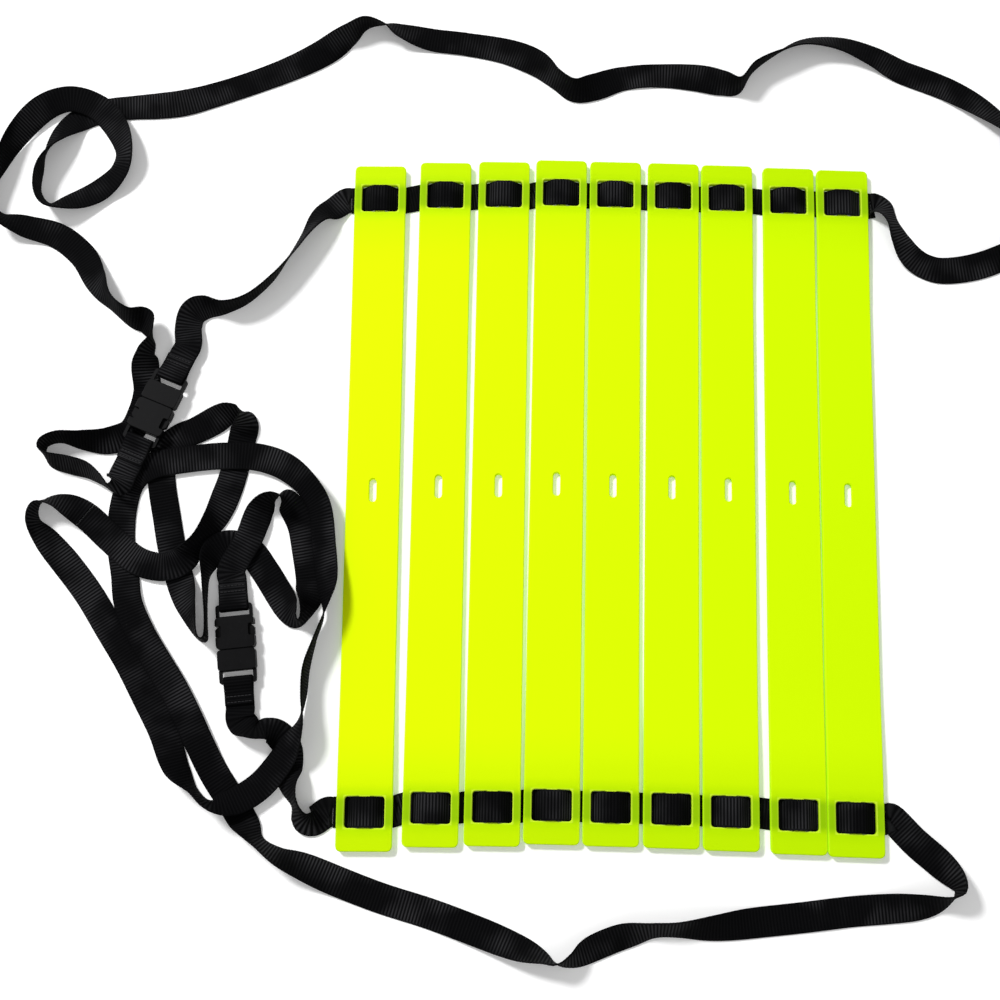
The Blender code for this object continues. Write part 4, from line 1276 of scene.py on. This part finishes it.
@dataclass(frozen=True)
class FreeStrap:
    """One strap's free end, from the outermost rung to a buckle.

    The route is a list of points: place along X and Y, height of the lowest edge, and roll in
    degrees. A cubic through every four points gives the line between the middle two. The strap's
    middle is above its lowest edge by half its width times the sine of the roll, plus half its
    thickness times the cosine. The lead ends at the control point numbered yield_to, and the
    stretches part at those in splits.
    """

    name: str
    side: Side
    first_rung: bool
    route: tuple
    buckle: Buckle
    half: Half
    yield_to: int
    splits: tuple
    stretches: tuple
    end_reach: float = 18.3 * MM
    approach: float = 9.0 * MM
    drop: float = 0.9 * MM
    clearance: float = 0.3 * MM
    lead: float = 4.0 * MM
    width: float = 20.0 * MM
    thickness: float = 1.3 * MM
    step: float = 0.4 * MM
    settle: float = 6.0 * MM
    shortest: float = 6.0
    still_part: int = 5
    finish: BlackWebbing = BlackWebbing()

    def lift(self, roll: np.ndarray) -> np.ndarray:
        """Return the height of the strap's middle above its lowest edge."""
        return (np.abs(np.sin(roll)) * self.width + np.abs(np.cos(roll)) * self.thickness) / 2

    def points(self) -> tuple[np.ndarray, np.ndarray, np.ndarray]:
        """Put the route between the outermost rung and the buckle.

        Returns:
            The control points, and the width directions at both ends.
        """
        place = PLACES[0] if self.first_rung else PLACES[-1]
        outward = -1 if self.first_rung else 1
        woven = WovenStraps()
        matrix = place.matrix()
        reach = outward * (woven.rung_half + woven.overhang + self.clearance)
        across = self.side.value * woven.window_at
        start = matrix @ Vector((reach, across, 0))
        lead = matrix @ Vector((reach + outward * self.lead, across, 0))
        frame = self.buckle.matrix()
        low = frame.translation.z - self.drop - self.thickness / 2
        flat = round(self.route[-1][-1] / HALF_TURN) * HALF_TURN
        ends = []
        for distance in (self.end_reach + self.approach, self.end_reach):
            bar = self.half.bar(self.buckle) + self.half.value * distance
            at = frame @ Vector((bar, 0, 0))
            ends.append((at.x, at.y, low, flat))
        between = [(x * MM, y * MM, z * MM, roll) for x, y, z, roll in self.route]
        rows = [(start.x, start.y, 0, 0), (lead.x, lead.y, 0, 0), *between, *ends]
        control = np.array(rows, dtype=float)
        control[:, 3] = np.radians(control[:, 3])
        first = np.array(matrix.to_3x3() @ Vector((0, 1, 0)))
        return control, first, np.array(frame.to_3x3().col[1])

    def line(self) -> tuple[Line, list[float]]:
        """Smooth the route.

        Returns:
            The line, and the distance along it of every control point.
        """
        control, first, last = self.points()
        held = np.vstack([2 * control[0] - control[1], control, 2 * control[-1] - control[-2]])
        samples, marks = [], []
        for n in range(len(held) - 3):
            a, b, c, d = held[n : n + 4]
            marks.append(sum(len(s) for s in samples))
            count = max(1, math.ceil(float(np.linalg.norm(c[:2] - b[:2])) / self.step))
            t = (np.arange(count) / count)[:, None]
            square = 2 * a - 5 * b + 4 * c - d
            cube = 3 * b - 3 * c + d - a
            samples.append((2 * b + (c - a) * t + (square * t**2 + cube * t**3)) / 2)
        marks.append(sum(len(s) for s in samples))
        points = np.vstack([*samples, held[-2:-1]])
        roll = points[:, 3]
        centres = np.column_stack([points[:, :2], np.maximum(points[:, 2], 0) + self.lift(roll)])
        heading = np.gradient(points[:, :2], axis=0)
        heading /= np.linalg.norm(heading, axis=1)[:, None]
        sideways = np.column_stack([-heading[:, 1], heading[:, 0], np.zeros(len(heading))])
        widths = np.cos(roll)[:, None] * sideways + np.sin(roll)[:, None] * np.array(UP)
        arcs = Line(centres, widths).arcs()
        for end, exact in ((0, first), (-1, last)):
            held = exact if float(widths[end] @ exact) > 0 else -exact
            near = np.clip(1.0 - np.abs(arcs - arcs[end]) / self.settle, 0.0, 1.0)
            share = (near * near * (3.0 - 2.0 * near))[:, None]
            widths = widths * (1.0 - share) + held * share
        return Line(centres, widths), [float(arcs[n]) for n in marks]

    def build(self, on_end: list[bpy.types.Object]) -> list[bpy.types.Object]:
        """Make the stretches of the free end.

        Args:
            on_end: The sewn loop and the half buckle at its end. Not used.

        Returns:
            The stretches, in order from the rungs.
        """
        line, marks = self.line()
        cuts = [0.0, *[marks[n] for n in self.splits], float(line.arcs()[-1])]
        half_gap = self.clearance / 2
        made = []
        for n, stretch in enumerate(self.stretches):
            start = cuts[n] + (half_gap if n else 0.0)
            end = cuts[n + 1] - (half_gap if n + 1 < len(self.stretches) else 0.0)
            arcs = sections(start, end)
            own = line.at(arcs)
            name = f"{stretch}_webbing"
            first = int(np.searchsorted(arcs, marks[self.yield_to])) if n == 0 else 0
            run = slice(first, None)
            body = own.band(name, Section.STRAP, start, keep=run)
            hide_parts(stretch)
            leads = []
            if first:
                leads.append(self.build_lead(own, first, stretch))
            last = n + 1 == len(self.stretches)
            self.attach(body, last)
            made.extend([*leads, body])
        return made

    def build_lead(self, own: Line, count: int, stretch: str) -> bpy.types.Object:
        """Make the strap's first run.

        Args:
            own: The first stretch's line.
            count: The number of the point where this run ends.
            stretch: The CAD node that the stretch stands for.

        Returns:
            The run of strap, which stays where it is made.
        """
        run = slice(0, count + 1)
        lead = own.band(f"{stretch}_lead", Section.STRAP, keep=run)
        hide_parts(stretch)
        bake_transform(lead)
        return lead

    def attach(
        self, body: bpy.types.Object, last: bool
    ) -> None:
        """Args:
            body: The stretch.
            last: Whether it ends at the buckle.
        """
        if last and self.half is Half.PLUG:
            self.half.body(self.buckle)
            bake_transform(body)
        else:
            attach(body, ROOT)

    def dress(self, pieces: list[bpy.types.Object]) -> None:
        """Give the free end its webbing.

        Args:
            pieces: The stretches and the lead.
        """
        material = self.finish.build(f"{self.name}_webbing")
        for piece in pieces:
            piece.data.materials.append(material)


@dataclass(frozen=True)
class EndLoops:
    """The sewn strap ends round the buckles' bars, with two rows of stitches on each.

    The band follows the loop's profile: out along the lower layer, round the bar, and back on
    top. Each stitch is a thread that rises from one hole and dips into the next, as half a sine.
    """

    profile: tuple = (
        (18.25 * MM, -0.9 * MM),
        (9.0 * MM, -0.9 * MM),
        (5.0 * MM, -1.7 * MM),
        (1.8 * MM, -2.95 * MM),
        (-1.4 * MM, -2.95 * MM),
        (-3.0 * MM, -1.5 * MM),
        (-3.0 * MM, 1.5 * MM),
        (-1.4 * MM, 2.95 * MM),
        (1.8 * MM, 2.95 * MM),
        (5.0 * MM, 1.7 * MM),
        (9.0 * MM, 0.9 * MM),
        (16.0 * MM, 0.9 * MM),
    )
    soft: float = 0.5 * MM
    step: float = 0.3 * MM
    stitch_rows: tuple = (10.4 * MM, 14.4 * MM)
    stitch_count: int = 7
    stitch_pitch: float = 2.5 * MM
    stitch_length: float = 1.9 * MM
    stitch_rise: float = 0.22 * MM
    stitch_sunk: float = 0.35
    stitch_points: int = 9
    top: float = 1.55 * MM
    finish: BlackWebbing = BlackWebbing()
    thread: Thread = Thread()

    def build(self) -> dict[str, list[bpy.types.Object]]:
        """Make the four loops, each with its stitches.

        Returns:
            The pieces at each strap's end, by the strap's name.
        """
        return {
            "far_left": self.build_one("far_left_end_loop", BUCKLES["a"], Half.PLUG),
            "far_right": self.build_one("far_right_end_loop", BUCKLES["a"], Half.SOCKET),
            "near_left": self.build_one("near_left_end_loop", BUCKLES["b"], Half.PLUG),
            "near_right": self.build_one("near_right_end_loop", BUCKLES["b"], Half.SOCKET),
        }

    def build_one(self, name: str, buckle: Buckle, half: Half) -> list[bpy.types.Object]:
        """Make one loop and its stitches.

        Args:
            name: The CAD node that the loop stands for.
            buckle: The buckle it is on.
            half: Which half of the buckle.

        Returns:
            The loop, then its rows of stitches.
        """
        frame = buckle.matrix()
        bar = half.bar(buckle)
        across = np.array(frame.to_3x3().col[1])
        centres = [frame @ Vector((bar + half.value * out, 0, up)) for out, up in self.profile]
        rough = Line(np.array(centres, dtype=float), np.tile(across, (len(centres), 1)))
        soft = rough.softened(self.soft, self.step)
        line = soft.at(sections(0.0, float(soft.arcs()[-1])))
        loop = line.band(f"{name}_webbing", Section.STRAP, floor=False)
        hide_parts(name)
        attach(loop, half.body(buckle))
        rows = []
        for number, out in enumerate(self.stitch_rows, start=1):
            threads = []
            for k in range(self.stitch_count):
                middle = (k - (self.stitch_count - 1) / 2) * self.stitch_pitch
                t = np.linspace(0, 1, self.stitch_points)
                aside = middle + (t - 0.5) * self.stitch_length
                up = self.top + self.stitch_rise * (np.sin(math.pi * t) - self.stitch_sunk)
                points = [
                    frame @ Vector((bar + half.value * out, float(v), float(z)))
                    for v, z in zip(aside, up)
                ]
                widths = np.tile(np.array(frame.to_3x3().col[0]), (len(points), 1))
                thread = Line(np.array(points, dtype=float), widths)
                threads.append(thread.band(f"{name}_stitch_{k}", Section.THREAD))
            row = merged(f"{name}_stitches_{number}", threads)
            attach(row, half.body(buckle))
            rows.append(row)
        return [loop, *rows]

    def dress(self, loops: dict[str, list[bpy.types.Object]]) -> None:
        """Give the loops their webbing and the stitches their thread.

        Args:
            loops: The pieces at each strap's end, by the strap's name.
        """
        webbing = self.finish.build("loop_webbing")
        thread = self.thread.build("stitch_thread")
        for loop, *rows in loops.values():
            loop.data.materials.append(webbing)
            for row in rows:
                row.data.materials.clear()
                row.data.materials.append(thread)


@dataclass(frozen=True)
class BuckleBodies:
    """The moulded halves and spring arms of both buckles, as packed."""

    moulded: tuple = ((Half.SOCKET, ("socket",)), (Half.PLUG, ("plug", "arm_left", "arm_right")))
    rounding: float = 0.25 * MM
    sharp_from: float = 40.0
    finish: BucklePlastic = BucklePlastic()

    def build(self, nodes: dict) -> dict[tuple[str, Half], list[bpy.types.Object]]:
        """Sort the buckles' own nodes.

        Args:
            nodes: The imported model's nodes by name.

        Returns:
            The nodes by buckle and half.
        """
        return {
            (letter, half): [nodes[f"buckle_{letter}_{kind}"] for kind in kinds]
            for letter in BUCKLES
            for half, kinds in self.moulded
        }

    def dress(self, halves: dict[tuple[str, Half], list[bpy.types.Object]]) -> None:
        """Give every moulded piece its plastic, and round its edges.

        Args:
            halves: The nodes by buckle and half.
        """
        material = self.finish.build("buckle_moulding")
        for part in [part for parts in halves.values() for part in parts]:
            part.data.materials.clear()
            part.data.materials.append(material)
            soft = part.modifiers.new("rounding", "BEVEL")
            soft.width = self.rounding
            soft.segments = 2
            soft.limit_method = "ANGLE"
            soft.angle_limit = math.radians(self.sharp_from)


STRAPS = (
    FreeStrap(
        name="far_left",
        side=Side.FAR,
        first_rung=True,
        route=FAR_LEFT_ROUTE,
        buckle=BUCKLES["a"],
        half=Half.PLUG,
        yield_to=4,
        splits=(),
        stretches=("far_strap_left",),
    ),
    FreeStrap(
        name="far_right",
        side=Side.FAR,
        first_rung=False,
        route=FAR_RIGHT_ROUTE,
        buckle=BUCKLES["a"],
        half=Half.SOCKET,
        yield_to=5,
        splits=(43,),
        stretches=("far_strap_sweep", "far_strap_coil"),
    ),
    FreeStrap(
        name="near_left",
        side=Side.NEAR,
        first_rung=True,
        route=NEAR_LEFT_ROUTE,
        buckle=BUCKLES["b"],
        half=Half.PLUG,
        yield_to=2,
        splits=(),
        stretches=("near_strap_left",),
    ),
    FreeStrap(
        name="near_right",
        side=Side.NEAR,
        first_rung=False,
        route=NEAR_RIGHT_ROUTE,
        buckle=BUCKLES["b"],
        half=Half.SOCKET,
        yield_to=4,
        splits=(27, 72),
        stretches=("near_strap_sweep", "near_strap_outer_loop", "near_strap_inner_loop"),
    ),
)


def corners() -> list[list[float]]:
    """Return the shown object's box as plain lists."""
    low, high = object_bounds()
    return [[float(v) for v in low], [float(v) for v in high]]


def main() -> None:
    """Build and dress every sub-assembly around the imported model."""
    logging.basicConfig(level=logging.INFO, format="%(name)s: %(message)s")
    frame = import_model()
    Studio().build()

    rungs = Rungs()
    plates = rungs.build(frame["nodes"])
    rungs.dress(plates)
    LOG.info("rungs: %d", len(plates))

    woven = WovenStraps()
    weave = woven.build()
    woven.dress(weave)
    LOG.info("woven pieces: %d", len(weave))

    bodies = BuckleBodies()
    halves = bodies.build(frame["nodes"])
    bodies.dress(halves)
    LOG.info("buckle halves: %d", len(halves))

    loops = EndLoops()
    sewn = loops.build()
    loops.dress(sewn)
    LOG.info("sewn ends: %d", len(sewn))

    for strap in STRAPS:
        on_end = [*sewn[strap.name], *halves[strap.buckle.letter, strap.half]]
        stretches = strap.build(on_end)
        strap.dress(stretches)
        LOG.info("free strap %s: %d pieces", strap.name, len(stretches))


if __name__ == "__main__":
    main()
